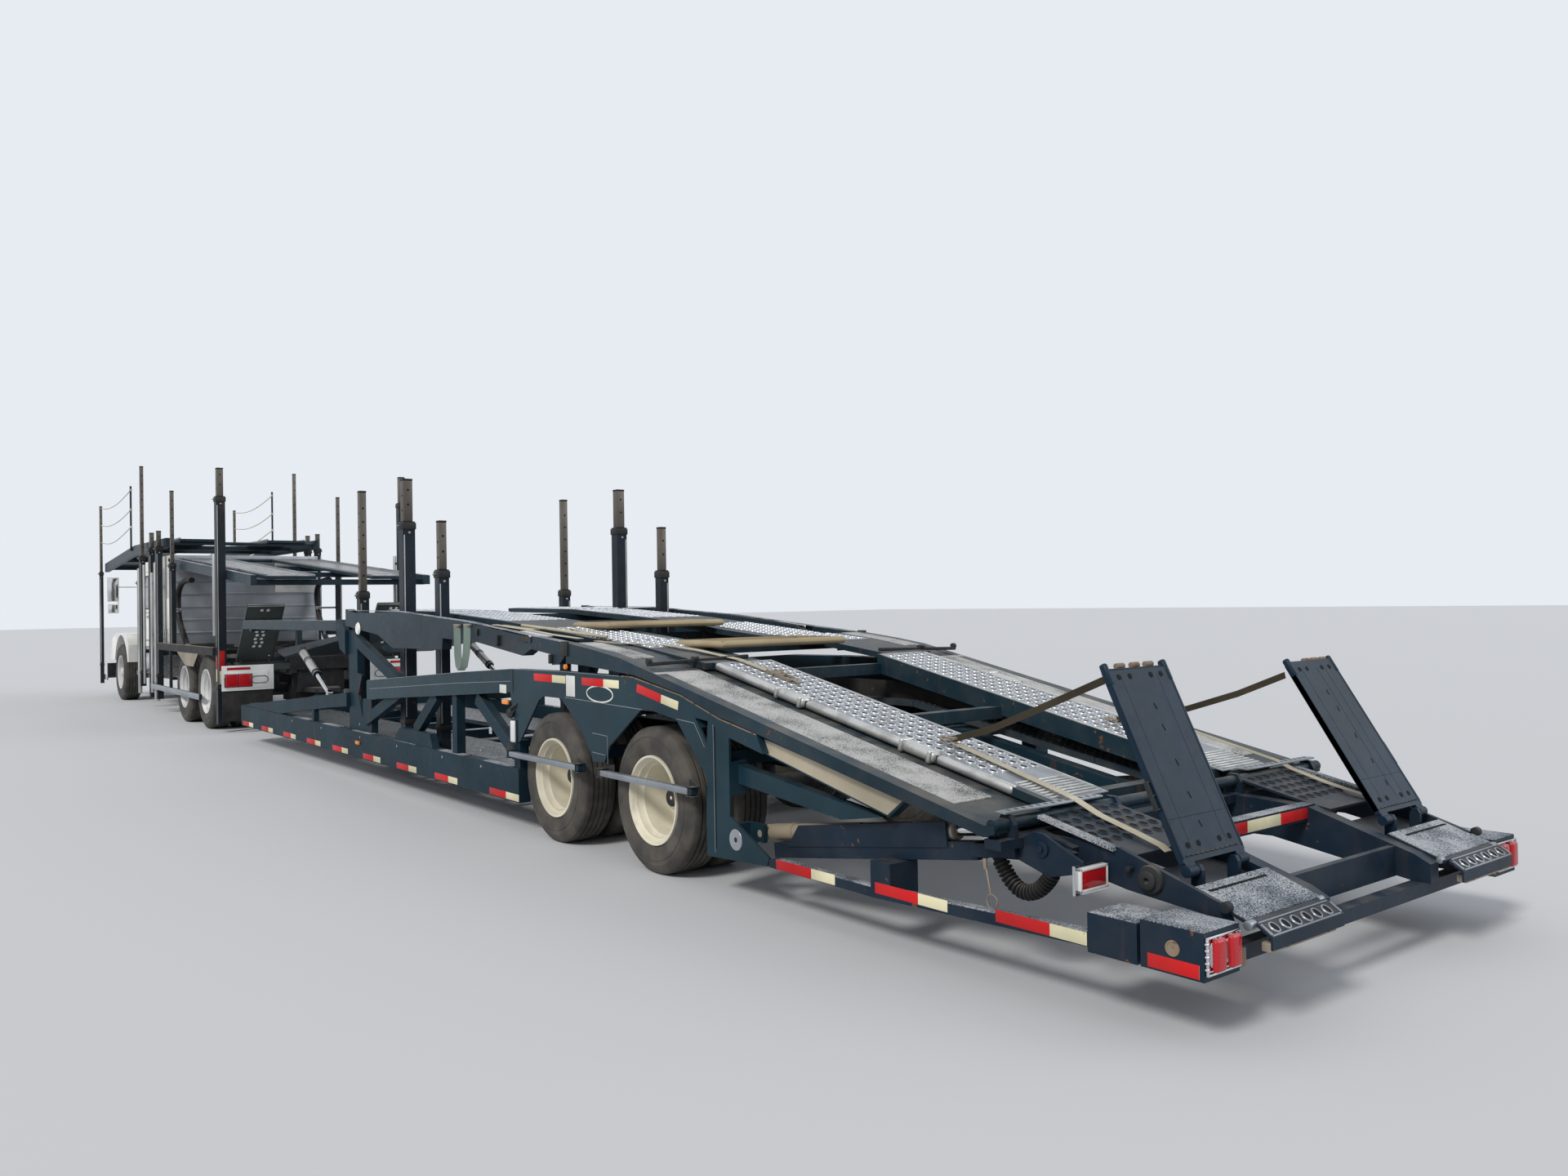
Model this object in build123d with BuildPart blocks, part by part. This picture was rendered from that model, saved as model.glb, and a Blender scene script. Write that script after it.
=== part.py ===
from build123d import *
import os
from math import atan2, degrees, hypot

os.makedirs("parts", exist_ok=True)

# An articulated car transporter: a sleeper tractor with decks over it and a low-pivot trailer
# with decks, posts and loading ramps. Millimetres, +X ahead, +Y to the driver's left, +Z up.
# The origin is on the ground, midway along the whole vehicle.

# Overall sizes
tail_overhang = 3750
drive_station = 11420
wheelbase_to_rear_drive = 6880
front_overhang = 1900
overall_length = tail_overhang + drive_station + wheelbase_to_rear_drive + front_overhang
half_width = 1295

# Trailer wheels
trailer_axle_gap = 1250
trailer_tyre_radius = 433
trailer_bead_radius = 265
trailer_tyre_width = 262
trailer_tread_width = 212
trailer_outer_y = half_width - 151
trailer_inner_y = trailer_outer_y - 298

# Tractor wheels
drive_tyre_radius = 500
drive_bead_radius = 300
drive_tyre_width = 270
drive_tread_width = 220
drive_outer_y = half_width - 185
drive_inner_y = drive_outer_y - 310
steer_tyre_width = 295
steer_tread_width = 240
steer_wheel_y = half_width - 255
kingpin_y = steer_wheel_y - 180
kingpin_radius = 25
steering_eye_radius = 55
drive_axle_gap = 1320
hitch_behind_drive = 1220
wheel_sides = 36
disc_thickness = 26
hub_radius = 96
hub_length = 130
axle_radius = 64

# Stations along the vehicle, as row x
rear_axle_x = tail_overhang - overall_length / 2
front_axle_x = rear_axle_x + trailer_axle_gap
drive_rear_x = rear_axle_x + drive_station
drive_front_x = drive_rear_x + drive_axle_gap
steer_x = drive_rear_x + wheelbase_to_rear_drive
hitch_x = drive_rear_x - hitch_behind_drive

# Trailer frame
rail_wall = 90
sill_low = 205
sill_high = 445
sill_rear = 1730
sill_front = 9330
spine_y = 430
spine_width = 90
cross_depth = 90
floor_low = 310
cross_width = 80
track_inner_y = 350
track_outer_y = half_width - 350
track_thickness = 40
track_gap = 6
rear_track_inner_y = 525
eye_radius = 170
hitch_pin_radius = 45
hitch_clearance = 1
neck_low = 360
neck_high = 460
clevis_gap = 20
clevis_plate = 60
arch_plate = 14
post_y = half_width - 215

# Tractor frame
rail_y = 330
rail_width = 90
rail_low = 740
rail_high = 990

# Decks that move
deck_joint = 1015
deck_joint_gap = 30
deck_rail_width = 80
deck_cross_depth = 70
hinge_pin_radius = 28
hinge_clearance = 1
upper_hinge = (5360, 1500)
front_hinge = (5680, 1420)
rear_hinge = (-2680, 655)
barrel_pin = (7860, 1120)
rod_pin = (6900, 690)
lift_y = 1000
ramp_barrel_pin = (-950, 365)
ramp_rod_pin = (-2520, 597)
ramp_y = half_width - 175


# Tail and its loading flaps
tail_inner_y = 505
tail_outer_y = half_width - 264
tail_plate = 22
corner_inner_y = half_width - 219
flap_lug_y = 662
flipper_foot = (-3378, 538)
flipper_heads = {"left": (-3022, 1285), "right": (-2926, 1249)}
flipper_inner_y = 568
flipper_outer_y = 984

# Cab
cab_half_width = 1030
sleeper_half_width = cab_half_width + 70
hood_lug_y = 485
wall = 60
door_gap = 8
glass = 8
floor_z = 1060
roof_z = 2420
cowl_z = 1650

sides = (("left", 1), ("right", -1))


def at(d):
    """Row x of a station d ahead of the trailer's rear axle."""
    return rear_axle_x + d


def fore(n):
    """Station of a point n ahead of the steered axle."""
    return drive_station + wheelbase_to_rear_drive + n


def aft(n):
    """Station of a point n ahead of the rear drive axle."""
    return drive_station + n


tractor_deck_hinge = (fore(-4080), 2370)
head_deck_hinge = (fore(-3820), 2645)
hood_hinge = (fore(1200), 640)
tow_bore = (fore(1780), 350)


def plate(points, outer_y, thickness, mode=Mode.ADD):
    """A side outline of (station, height) points, from outer_y inwards."""
    with BuildSketch(Plane.XZ.offset(-outer_y)) as face:
        Polygon(*[(at(d), z) for d, z in points], align=None)
    extrude(face.sketch, amount=thickness, mode=mode)


def block(x0, x1, y0, y1, z0, z1, mode=Mode.ADD):
    """A box between two stations, two widths and two heights."""
    with Locations((at((x0 + x1) / 2), (y0 + y1) / 2, (z0 + z1) / 2)):
        Box(x1 - x0, abs(y1 - y0), abs(z1 - z0), mode=mode)


def strut(x0, z0, x1, z1, outer_y, depth, width):
    """A straight square bar whose middle line runs between two side points."""
    length = hypot(x1 - x0, z1 - z0)
    middle = (at((x0 + x1) / 2), outer_y - width / 2, (z0 + z1) / 2)
    with Locations(Location(middle, (0, -degrees(atan2(z1 - z0, x1 - x0)), 0))):
        Box(length, width, depth)


def rod(x0, z0, x1, z1, y, radius, mode=Mode.ADD):
    """A round bar between two side points, at one width."""
    run = Vector(x1 - x0, 0, z1 - z0)
    with BuildSketch(Plane(origin=(at(x0), y, z0), z_dir=run)) as end:
        Circle(radius)
    extrude(end.sketch, amount=run.length, mode=mode)


def cross_bar(d, z, radius, half, mode=Mode.ADD):
    """A round bar from side to side."""
    with BuildSketch(Plane.XZ.offset(-half)) as end:
        with Locations((at(d), z)):
            Circle(radius)
    extrude(end.sketch, amount=2 * half, mode=mode)


def ring(x, z, radius, y):
    """A many-sided wheel outline in the plane y, with a flat at the bottom."""
    with BuildSketch(Plane.XZ.offset(-y)) as face:
        with Locations((x, z)):
            RegularPolygon(radius, wheel_sides, major_radius=False, rotation=90 - 180 / wheel_sides)
    return face.sketch


def tyre(x, z, y, radius, bead, width, tread):
    """One tyre: a flat tread and walls that widen towards the bead, open for the rim."""
    extrude(ring(x, z, radius, y), amount=tread / 2, both=True)
    for side in (1, -1):
        loft(
            [ring(x, z, radius, y + side * tread / 2), ring(x, z, bead, y + side * width / 2)],
            ruled=True,
        )


def rim(x, z, y_in, y_out, bead, disc_y):
    """A wheel with a deep dish each side of its disc, and a hub on the outer side."""
    side = 1 if y_out > 0 else -1
    extrude(ring(x, z, bead, y_out), amount=y_out - y_in)
    lip = bead - 24
    well = bead - 62
    outer_face = disc_y + side * disc_thickness / 2
    inner_face = disc_y - side * disc_thickness / 2
    loft([ring(x, z, lip, y_out), ring(x, z, well, outer_face)], ruled=True, mode=Mode.SUBTRACT)
    loft([ring(x, z, lip, y_in), ring(x, z, well, inner_face)], ruled=True, mode=Mode.SUBTRACT)
    with BuildSketch(Plane.XZ.offset(-outer_face)) as hub:
        with Locations((x, z)):
            RegularPolygon(hub_radius, 12)
    extrude(hub.sketch, amount=-side * hub_length)


def save(part, name):
    """Labels one finished piece and writes its file."""
    part.label = name
    export_step(part, f"parts/{name}.step")


# Twin wheels of the trailer and of the tractor's drive axles
# columns: name, x, tyre radius, bead radius, tyre width, tread width, outer wheel y, inner wheel y
twins = (
    ("trailer_front", front_axle_x, trailer_tyre_radius, trailer_bead_radius,
     trailer_tyre_width, trailer_tread_width, trailer_outer_y, trailer_inner_y),
    ("trailer_rear", rear_axle_x, trailer_tyre_radius, trailer_bead_radius,
     trailer_tyre_width, trailer_tread_width, trailer_outer_y, trailer_inner_y),
    ("drive_front", drive_front_x, drive_tyre_radius, drive_bead_radius,
     drive_tyre_width, drive_tread_width, drive_outer_y, drive_inner_y),
    ("drive_rear", drive_rear_x, drive_tyre_radius, drive_bead_radius,
     drive_tyre_width, drive_tread_width, drive_outer_y, drive_inner_y),
)
for name, x, radius, bead, width, tread, outer_y, inner_y in twins:
    for hand, side in sides:
        with BuildPart() as twin_tyres:
            for y in (outer_y, inner_y):
                tyre(x, radius, side * y, radius, bead, width, tread)
            extrude(
                ring(x, radius, bead, side * (outer_y + width)),
                amount=side * (outer_y - inner_y + 2 * width),
                mode=Mode.SUBTRACT,
            )
        save(twin_tyres.part, f"{name}_tyres_{hand}")
        with BuildPart() as twin_rims:
            rim(
                x, radius, side * (inner_y - width / 2 + 12), side * (outer_y + width / 2 - 12),
                bead, side * (outer_y + inner_y) / 2,
            )
        save(twin_rims.part, f"{name}_rims_{hand}")

for hand, side in sides:
    with BuildPart() as steer_tyre:
        tyre(
            steer_x, drive_tyre_radius, side * steer_wheel_y, drive_tyre_radius,
            drive_bead_radius, steer_tyre_width, steer_tread_width,
        )
        extrude(
            ring(steer_x, drive_tyre_radius, drive_bead_radius, side * (steer_wheel_y + 300)),
            amount=side * 600,
            mode=Mode.SUBTRACT,
        )
    save(steer_tyre.part, f"steer_tyre_{hand}")
    with BuildPart() as steer_rim:
        rim(
            steer_x, drive_tyre_radius, side * (steer_wheel_y - steer_tyre_width / 2 + 12),
            side * (steer_wheel_y + steer_tyre_width / 2 - 12), drive_bead_radius,
            side * (steer_wheel_y - 20),
        )
    save(steer_rim.part, f"steer_rim_{hand}")

# Steering knuckles: a yoke round the beam's end, its kingpin, a stub axle and a steering arm
for hand, side in sides:
    with BuildPart() as knuckle:
        for low, high in ((320, 372), (508, 560)):
            with Locations((steer_x, side * kingpin_y, (low + high) / 2)):
                Cylinder(50, high - low)
            with Locations((steer_x, side * (kingpin_y + 40), (low + high) / 2)):
                Box(90, 80, high - low)
        with Locations((steer_x, side * (kingpin_y + 78), 440)):
            Box(110, 26, 240)
        with Locations((steer_x, side * kingpin_y, 440)):
            Cylinder(kingpin_radius, 240)
        stub_length = steer_wheel_y - 20 - disc_thickness / 2 - 4 - kingpin_y - 90
        with Locations((steer_x, side * (kingpin_y + 90 + stub_length / 2), drive_tyre_radius)):
            Cylinder(50, stub_length, rotation=(90, 0, 0))
        with Locations((steer_x - 110, side * kingpin_y, 346)):
            Box(220, 44, 40)
    save(knuckle.part, f"knuckle_{hand}")

# Axle housings of the tractor, with the drive axles' centre cases and the front beam
with BuildPart() as tractor_axles:
    drive_disc_y = (drive_outer_y + drive_inner_y) / 2
    drive_tube_half = drive_disc_y - disc_thickness / 2 - 6
    for x in (drive_rear_x, drive_front_x):
        with BuildSketch(Plane.XZ.offset(-drive_tube_half)) as tube:
            with Locations((x, drive_tyre_radius)):
                Circle(70)
        extrude(tube.sketch, amount=2 * drive_tube_half)
        with Locations((x, 0, drive_tyre_radius)):
            Box(420, 380, 360)
        for side in (1, -1):
            with Locations((x, side * (rail_y + rail_width / 2), (drive_tyre_radius + rail_low) / 2)):
                Box(260, rail_width, rail_low - drive_tyre_radius)
    with Locations((steer_x, 0, 440)):
        Box(100, 2 * kingpin_y, 124)
    for side in (1, -1):
        with Locations((steer_x, side * kingpin_y, 440)):
            Cylinder(steering_eye_radius, 124)
            Cylinder(kingpin_radius + hitch_clearance, 130, mode=Mode.SUBTRACT)
        with Locations((steer_x, side * (rail_y + rail_width / 2), (500 + rail_low) / 2)):
            Box(700, rail_width - 10, rail_low - 500)
save(tractor_axles.part, "tractor_axles")

# Axle tubes of the trailer, on trailing arms below the spine
trailer_disc_y = (trailer_outer_y + trailer_inner_y) / 2
trailer_tube_half = trailer_disc_y - disc_thickness / 2 - 6
with BuildPart() as trailer_axles:
    for x in (rear_axle_x, front_axle_x):
        with BuildSketch(Plane.XZ.offset(-trailer_tube_half)) as tube:
            with Locations((x, trailer_tyre_radius)):
                Circle(axle_radius)
        extrude(tube.sketch, amount=2 * trailer_tube_half)
        for side in (1, -1):
            with Locations((x + 100, side * (spine_y + spine_width / 2), trailer_tyre_radius + 20)):
                Box(420, 80, 90)
            with Locations((x + 240, side * (spine_y + spine_width / 2), 525)):
                Box(90, 80, 130)
            with Locations((x - 60, side * (spine_y + spine_width / 2), 544)):
                Cylinder(62, 92)
save(trailer_axles.part, "trailer_axles")

# Trailer frame: cross members between the sills, spine rails over the axles and the hitch neck
spine_outline = (
    (1980, floor_low - cross_depth), (1980, 420), (1600, 775), (-900, 780), (-2640, 480), (-2640, 370),
    (-1000, 590), (1535, 590), (1860, floor_low - cross_depth),
)
with BuildPart() as trailer_frame:
    for d in (2700, 3700, 4700, 5700, 6700, 7700, 8600):
        block(d - cross_width / 2, d + cross_width / 2, 0, half_width - rail_wall,
              floor_low - cross_depth, floor_low)
    block(sill_front - 160, sill_front, 0, half_width - rail_wall, 300, neck_high)
    plate(spine_outline, spine_y + spine_width, spine_width)
    for d, z in ((-2560, 425), (-1700, 530), (620, 660), (1500, 690)):
        block(d - 40, d + 40, 0, spine_y, z - 50, z + 50)
    block(1880, 1960, 0, half_width - rail_wall, floor_low - cross_depth, floor_low)
    block(-790, -710, 0, half_width - arch_plate, 710, 790)
    block(580, 660, spine_y, half_width - arch_plate, 620, 690)
    mirror(about=Plane.XZ)
    with BuildSketch(Plane.XY.offset(neck_low)) as neck:
        Polygon(
            (at(sill_front - 100), 700), (at(sill_front - 100), -700),
            (hitch_x - 60, -eye_radius), (hitch_x - 60, eye_radius), align=None,
        )
        with Locations((hitch_x, 0)):
            Circle(eye_radius)
            Circle(hitch_pin_radius + hitch_clearance, mode=Mode.SUBTRACT)
        with Locations((at(sill_front + 260), 0)):
            RegularPolygon(190, 3, rotation=0, mode=Mode.SUBTRACT)
    extrude(neck.sketch, amount=neck_high - neck_low)
save(trailer_frame.part, "trailer_frame")

# Side outlines of the sill, of the fender beam and of the arch plates below it
sill_outline = (
    (sill_rear, sill_low), (sill_front - 40, sill_low), (sill_front, sill_low + 30),
    (sill_front, sill_high), (sill_rear, sill_high),
)
beam_outline = (
    (4860, 760), (4860, 930), (2790, 1080), (1840, 1140), (1140, 1150), (180, 1150), (-350, 1070),
    (-740, 960), (-1080, 900), (-1130, 810), (-830, 870), (-740, 880), (60, 980), (1040, 980), (1880, 975),
    (2480, 930),
)
arch_outline = (
    (1850, 975), (1740, 630), (1700, 640), (1400, 945), (1330, 975), (1080, 975), (950, 890), (760, 740),
    (650, 600), (510, 610), (440, 720), (70, 960), (-60, 965), (-320, 930), (-620, 630), (-610, 440),
    (-830, 440), (-830, 870), (-740, 900), (-60, 990), (1040, 990),
)

# Side trusses: the sills with their posts, diagonals, gussets and sloping rail, and the deck brackets
truss_y = half_width - 25
knee_y = half_width - 45
with BuildPart() as side_trusses:
    plate(sill_outline, half_width, rail_wall)
    plate(((9320, sill_high), (7820, 580), (5440, 790), (5440, 660), (5960, 620), (7700, sill_high)),
          half_width - 5, 60)
    block(6480, 6540, half_width - 60, half_width - 10, sill_high, 600)
    block(5240, 5480, knee_y - 70, knee_y, sill_high, 1380)
    plate(((5100, sill_high), (5240, sill_high), (5240, 980), (5110, 970), (5225, 780), (5100, 560)),
          knee_y, 24)
    block(4870, 5100, knee_y - 60, knee_y, sill_high, 750)
    plate(((5250, 1150), (5470, 1150), (5470, 1380), (5430, 1560), (5290, 1560), (5250, 1440)),
          half_width - 90, 45)
    plate(((5480, 1150), (5480, 1380), (5600, 1480), (5740, 1480), (5740, 1380), (5640, 1200)),
          half_width - 10, 45)
    for d, z in (upper_hinge, front_hinge):
        cross_bar(d, z, hinge_pin_radius + hinge_clearance, half_width + 10, mode=Mode.SUBTRACT)
    for d, top in ((1790, 640), (2900, 900)):
        block(d - 45, d + 45, half_width - 90, half_width - 20, sill_high, top)
    plate(((4220, sill_high), (4070, 560), (3390, 560), (3330, sill_high)), half_width - 10, 60)
    for x0, z0, x1, z1 in (
        (5250, 1290, 4140, 940), (4980, 560, 4100, 860), (3760, 560, 3300, 880), (1850, 540, 2500, 900),
    ):
        strut(x0, z0, x1, z1, truss_y, 100, 60)
    plate(beam_outline, half_width, rail_wall, mode=Mode.SUBTRACT)
    plate(arch_outline, half_width, arch_plate, mode=Mode.SUBTRACT)
    mirror(about=Plane.XZ)
save(side_trusses.part, "side_trusses")

# Fender beams: the side beams over the wheels, arch plates, wheel guard bars and the rails behind them
with BuildPart() as fender_beams:
    plate(beam_outline, half_width, rail_wall)
    plate(arch_outline, half_width, arch_plate)
    plate(((-510, 955), (-620, 820), (-635, 945)), half_width + 5, 100, mode=Mode.SUBTRACT)
    plate(((-610, 450), (-610, 210), (-1150, 240), (-1170, 285), (-830, 450)), half_width, arch_plate)
    plate(((-1000, 905), (-1510, 810), (-2140, 690), (-2020, 600), (-1100, 800)), half_width - 45, 60)
    plate(((-830, 720), (-1960, 590), (-1670, 540), (-830, 620)), half_width - 60, 60)
    block(-830, -790, half_width - 120, half_width - arch_plate, 560, 740)
    block(-990, -840, ramp_y + 48, ramp_y + 70, 320, 415)
    block(-870, -840, ramp_y + 48, half_width - arch_plate, 320, 415)
    cross_bar(*ramp_barrel_pin, 21, ramp_y + 75, mode=Mode.SUBTRACT)
    for x0, x1 in ((770, 1820), (-530, 520)):
        block(x0, x1, half_width + 12, half_width + 46, 533, 567)
        for d in (x0 + 20, x1 - 20):
            block(d - 20, d + 20, half_width - 10, half_width + 12, 522, 578)
    mirror(about=Plane.XZ)
save(fender_beams.part, "fender_beams")

# Tail: low side rails, corner boxes, side girders with the sloping tail tracks, flap and cross members
tail_line = ((-2700, 668), (-3080, 588), (-3170, 575))
tray_width = tail_outer_y - tail_plate - tail_inner_y
with BuildPart() as tail_frame:
    plate(((-1170, 240), (-1170, 280), (-1970, 275), (-3165, 320), (-3165, 270), (-1960, 232)),
          half_width, 60)
    block(-3380, -3160, corner_inner_y, half_width, 251, 400)
    block(-3654, -3395, corner_inner_y, half_width, 251, 421)
    block(-3400, -3370, corner_inner_y + 30, half_width - 20, 260, 380)
    block(-3620, -3560, 0, corner_inner_y + 4, 262, 320)
    block(-2730, -2640, 0, half_width - 5, 560, 600)
    block(-3096, -3030, 0, tail_inner_y, 520, 590)
    block(-3500, -3470, 0, tail_inner_y, 330, 462)
    plate(((-2640, 600), (-3100, 585), (-3580, 440), (-3650, 405), (-3650, 320), (-3580, 320), (-2870, 430),
           (-2640, 450)), tail_inner_y, 75)
    plate(((-2640, 600), (-3110, 600), (-3573, 458), (-3600, 400), (-3150, 440), (-2980, 470),
           (-2640, 470)), tail_outer_y, tail_plate)
    lower = [(d, z - 12) for d, z in tail_line]
    plate(tail_line + tuple(reversed(lower)), tail_outer_y - tail_plate, tray_width)
    plate(((-3180, 500), (-3420, 452), (-3420, 440), (-3180, 488)), tail_outer_y - tail_plate, tray_width)
    plate(((-3430, 497), (-3675, 413), (-3675, 401), (-3430, 485)), tail_outer_y, tray_width + tail_plate)
    plate(((-3690, 416), (-3750, 378), (-3750, 330), (-3742, 330), (-3742, 372), (-3690, 404)),
          tail_outer_y - 11, tray_width)
    plate(((-3640, 420), (-3700, 404), (-3700, 396), (-3640, 408)), tail_outer_y - 50, 400)
    for y in (flap_lug_y, flap_lug_y + 248):
        plate(((-3354, 450), (-3354, 538), (-3366, 559), (-3390, 559), (-3402, 538), (-3402, 440)),
              y, 22)
    plate(((-2730, 590), (-2725, 655), (-2705, 692), (-2655, 692), (-2635, 655), (-2630, 590)),
          half_width - 91, 24)
    plate(((-2730, 590), (-2725, 655), (-2705, 692), (-2655, 692), (-2635, 655), (-2630, 590)),
          tail_inner_y, 24)
    cross_bar(*rear_hinge, hinge_pin_radius + hinge_clearance, half_width + 10, mode=Mode.SUBTRACT)
    strut(-2730, 612, -2920, 566, tail_outer_y + 44, 16, 44)
    strut(-1060, 292, -2490, 509, ramp_y + 55, 78, 70)
    plate(((-1270, 450), (-2310, 610), (-2320, 500), (-1180, 330)), ramp_y + 62, 12)
    block(-2070, -1940, ramp_y, half_width, 250, 400)
    strut(-2500, 508, -2720, 530, ramp_y + 10, 60, 40)
    plate(((-2700, 500), (-2700, 575), (-2750, 590), (-2950, 560), (-2840, 470)), ramp_y + 10, 60)
    mirror(about=Plane.XZ)
save(tail_frame.part, "tail_frame")

# Guide posts of the trailer's decks
# columns: station, foot height, collar height, top height, outer size, inner tube size
trailer_post_table = (
    (5570, 380, 1750, 2720, 90, 62),
    (4390, 380, 2350, 2730, 110, 80),
    (3600, 380, 1900, 2310, 90, 62),
)
with BuildPart() as trailer_posts:
    for d, foot, collar, top, size, inner in trailer_post_table:
        block(d - size / 2, d + size / 2, post_y - size / 2, post_y + size / 2, foot, collar)
        block(d - inner / 2, d + inner / 2, post_y - inner / 2, post_y + inner / 2, collar, top)
        block(d - size / 2, d + size / 2, post_y, half_width - rail_wall, foot, 440)
    mirror(about=Plane.XZ)
save(trailer_posts.part, "trailer_posts")

# Trailer lamps: tail lamps on their plates, the square rear lamps and side markers
with BuildPart() as trailer_lamps:
    block(-3660, -3654, corner_inner_y + 10, half_width - 10, 275, 405)
    for y in (half_width - 160, half_width - 65):
        with BuildSketch(Plane.YZ.offset(at(-3676))) as lamp:
            with Locations((y, 340)):
                SlotOverall(112, 62, rotation=90)
        extrude(lamp.sketch, amount=16)
    block(-3060, -3046, tail_outer_y, half_width - 60, 430, 545)
    block(-3070, -3060, tail_outer_y + 18, half_width - 78, 445, 530)
    block(2300, 2350, half_width - 90, half_width - 60, 640, 690)
    mirror(about=Plane.XZ)
save(trailer_lamps.part, "trailer_lamps")

# Lower deck of the trailer: straight tracks through the well, up over the axles and down to the tail
# columns: front station, front height, rear station, rear height, inner width place
low_track_table = (
    (9000, floor_low, 2110, floor_low, track_inner_y),
    (2100, floor_low, 1510, 880, track_inner_y),
    (1500, 885, -350, 885, rear_track_inner_y),
    (-356, 884, -1800, 650, rear_track_inner_y),
    (-1806, 649, -2600, 520, rear_track_inner_y),
)
with BuildPart() as lower_deck:
    for front, high, rear, low, inner_y in low_track_table:
        plate(((front, high), (rear, low), (rear, low + track_thickness), (front, high + track_thickness)),
              track_outer_y, track_outer_y - inner_y)
    mirror(about=Plane.XZ)
save(lower_deck.part, "lower_deck")

# Upper deck: side rails, cross members and tracks, hinged at the front post
upper_rear = deck_joint + deck_joint_gap / 2
upper_rail = (
    (5440, 1580), (5190, 1545), (4060, 1550), (3160, 1500), (2630, 1470), (1730, 1385), (1700, 1365),
    (1590, 1330), (1520, 1345), (1515, 1380), (upper_rear, 1342), (upper_rear, 1250), (1100, 1200),
    (1210, 1190), (1215, 1260), (1520, 1290), (1650, 1240), (2410, 1320), (3080, 1340), (3100, 1250),
    (4200, 1240), (4570, 1350), (5190, 1400), (5440, 1425),
)
upper_track = ((5400, 1562), (4060, 1545), (2630, 1465), (upper_rear, 1335))
with BuildPart() as upper_deck:
    plate(upper_rail, half_width - 5, deck_rail_width)
    lower = [(d, z - track_thickness) for d, z in upper_track]
    plate(upper_track + tuple(reversed(lower)), track_outer_y, track_outer_y - track_inner_y)
    for d, z in ((5190, 1500), (4000, 1500), (3100, 1450), (1900, 1360), (1150, 1305)):
        block(d - 40, d + 40, 0, half_width - 50, z - deck_cross_depth, z)
    with BuildSketch(Plane.XZ.offset(-half_width + 5)) as pin:
        with Locations((at(upper_hinge[0]), upper_hinge[1])):
            Circle(hinge_pin_radius)
    extrude(pin.sketch, amount=130)
    mirror(about=Plane.XZ)
save(upper_deck.part, "upper_deck")

# Rear deck: the sloping loading deck, hinged above the tail
rear_front = deck_joint - deck_joint_gap / 2
rear_rail = (
    (rear_front, 1342), (600, 1300), (310, 1262), (-100, 1178), (-2640, 656), (-2700, 660), (-2700, 625),
    (-2640, 606), (-2140, 700), (-1510, 822), (-1040, 918), (-840, 958), (-740, 972), (-350, 1082),
    (150, 1165), (730, 1200), (rear_front, 1207),
)
plank_outer_y = 880
plank_inner_y = 460
# columns: top line, outer width place, inner width place
rear_track_table = (
    (((rear_front, 1338), (600, 1310), (-100, 1228)), track_outer_y, rear_track_inner_y),
    (((-100, 1228), (-2560, 718.6)), plank_outer_y, plank_inner_y),
    (((-2560, 718.6), (-2650, 700)), plank_outer_y, rear_track_inner_y),
)
side_top = ((rear_front, 1338), (600, 1298), (310, 1260), (-100, 1174), (-2600, 656))
with BuildPart() as rear_deck:
    plate(rear_rail, half_width, deck_rail_width)
    for line, outer_y, inner_y in rear_track_table:
        lower = [(d, z - track_thickness) for d, z in line]
        plate(line + tuple(reversed(lower)), outer_y, outer_y - inner_y)
    lower = [(d, z - 12) for d, z in side_top]
    plate(side_top + tuple(reversed(lower)), half_width, half_width - plank_outer_y + 40)
    plate(((-100, 1228), (-2600, 710), (-2600, 610), (-100, 1103)), plank_inner_y + 35, 50)
    for d, z, end in ((880, 1300, 110), (-100, 1165, 110), (-1150, 941, 110), (-2440, 670, 235)):
        block(d - 40, d + 40, 0, half_width - end, z - deck_cross_depth, z)
    cross_bar(*rear_hinge, hinge_pin_radius, half_width - 5)
    block(-2560, -2480, ramp_y + 31, ramp_y + 51, 575, 660)
    mirror(about=Plane.XZ)
save(rear_deck.part, "rear_deck")

# Front deck: two long arms ahead of the front posts and two ramp plates between them
with BuildPart() as front_deck:
    plate(((5640, 1370), (5640, 1470), (9480, 1455), (9480, 1355)), half_width - 62, 70)
    plate(((6260, 1352), (9150, 1100), (9150, 1060), (8900, 1020), (6260, 1312)), track_outer_y - 30,
          track_outer_y - 30 - track_inner_y)
    for d, z in ((6300, 1395), (9150, 1400)):
        block(d - 40, d + 40, 0, half_width - 70, z - deck_cross_depth, z)
    plate(((9110, 1070), (9110, 1400), (9190, 1400), (9190, 1070)), 700, 60)
    with BuildSketch(Plane.XZ.offset(-half_width + 10)) as pin:
        with Locations((at(front_hinge[0]), front_hinge[1])):
            Circle(hinge_pin_radius)
    extrude(pin.sketch, amount=100)
    mirror(about=Plane.XZ)
save(front_deck.part, "front_deck")

# Lift cylinders: barrels hung from the front arms, rods down to brackets on the sills
with BuildPart() as lift_barrels:
    rod(*barrel_pin, 7310, 874, lift_y, 42)
    with Locations((at(barrel_pin[0]), lift_y, barrel_pin[1])):
        Cylinder(50, 60, rotation=(90, 0, 0))
    rod(7309, 873.5, 7740, 1066, lift_y, 27, mode=Mode.SUBTRACT)
    mirror(about=Plane.XZ)
save(lift_barrels.part, "lift_barrels")
with BuildPart() as lift_rods:
    rod(*rod_pin, 7520, 968, lift_y, 26)
    with Locations((at(rod_pin[0]), lift_y, rod_pin[1])):
        Cylinder(40, 50, rotation=(90, 0, 0))
    mirror(about=Plane.XZ)
save(lift_rods.part, "lift_rods")

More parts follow.
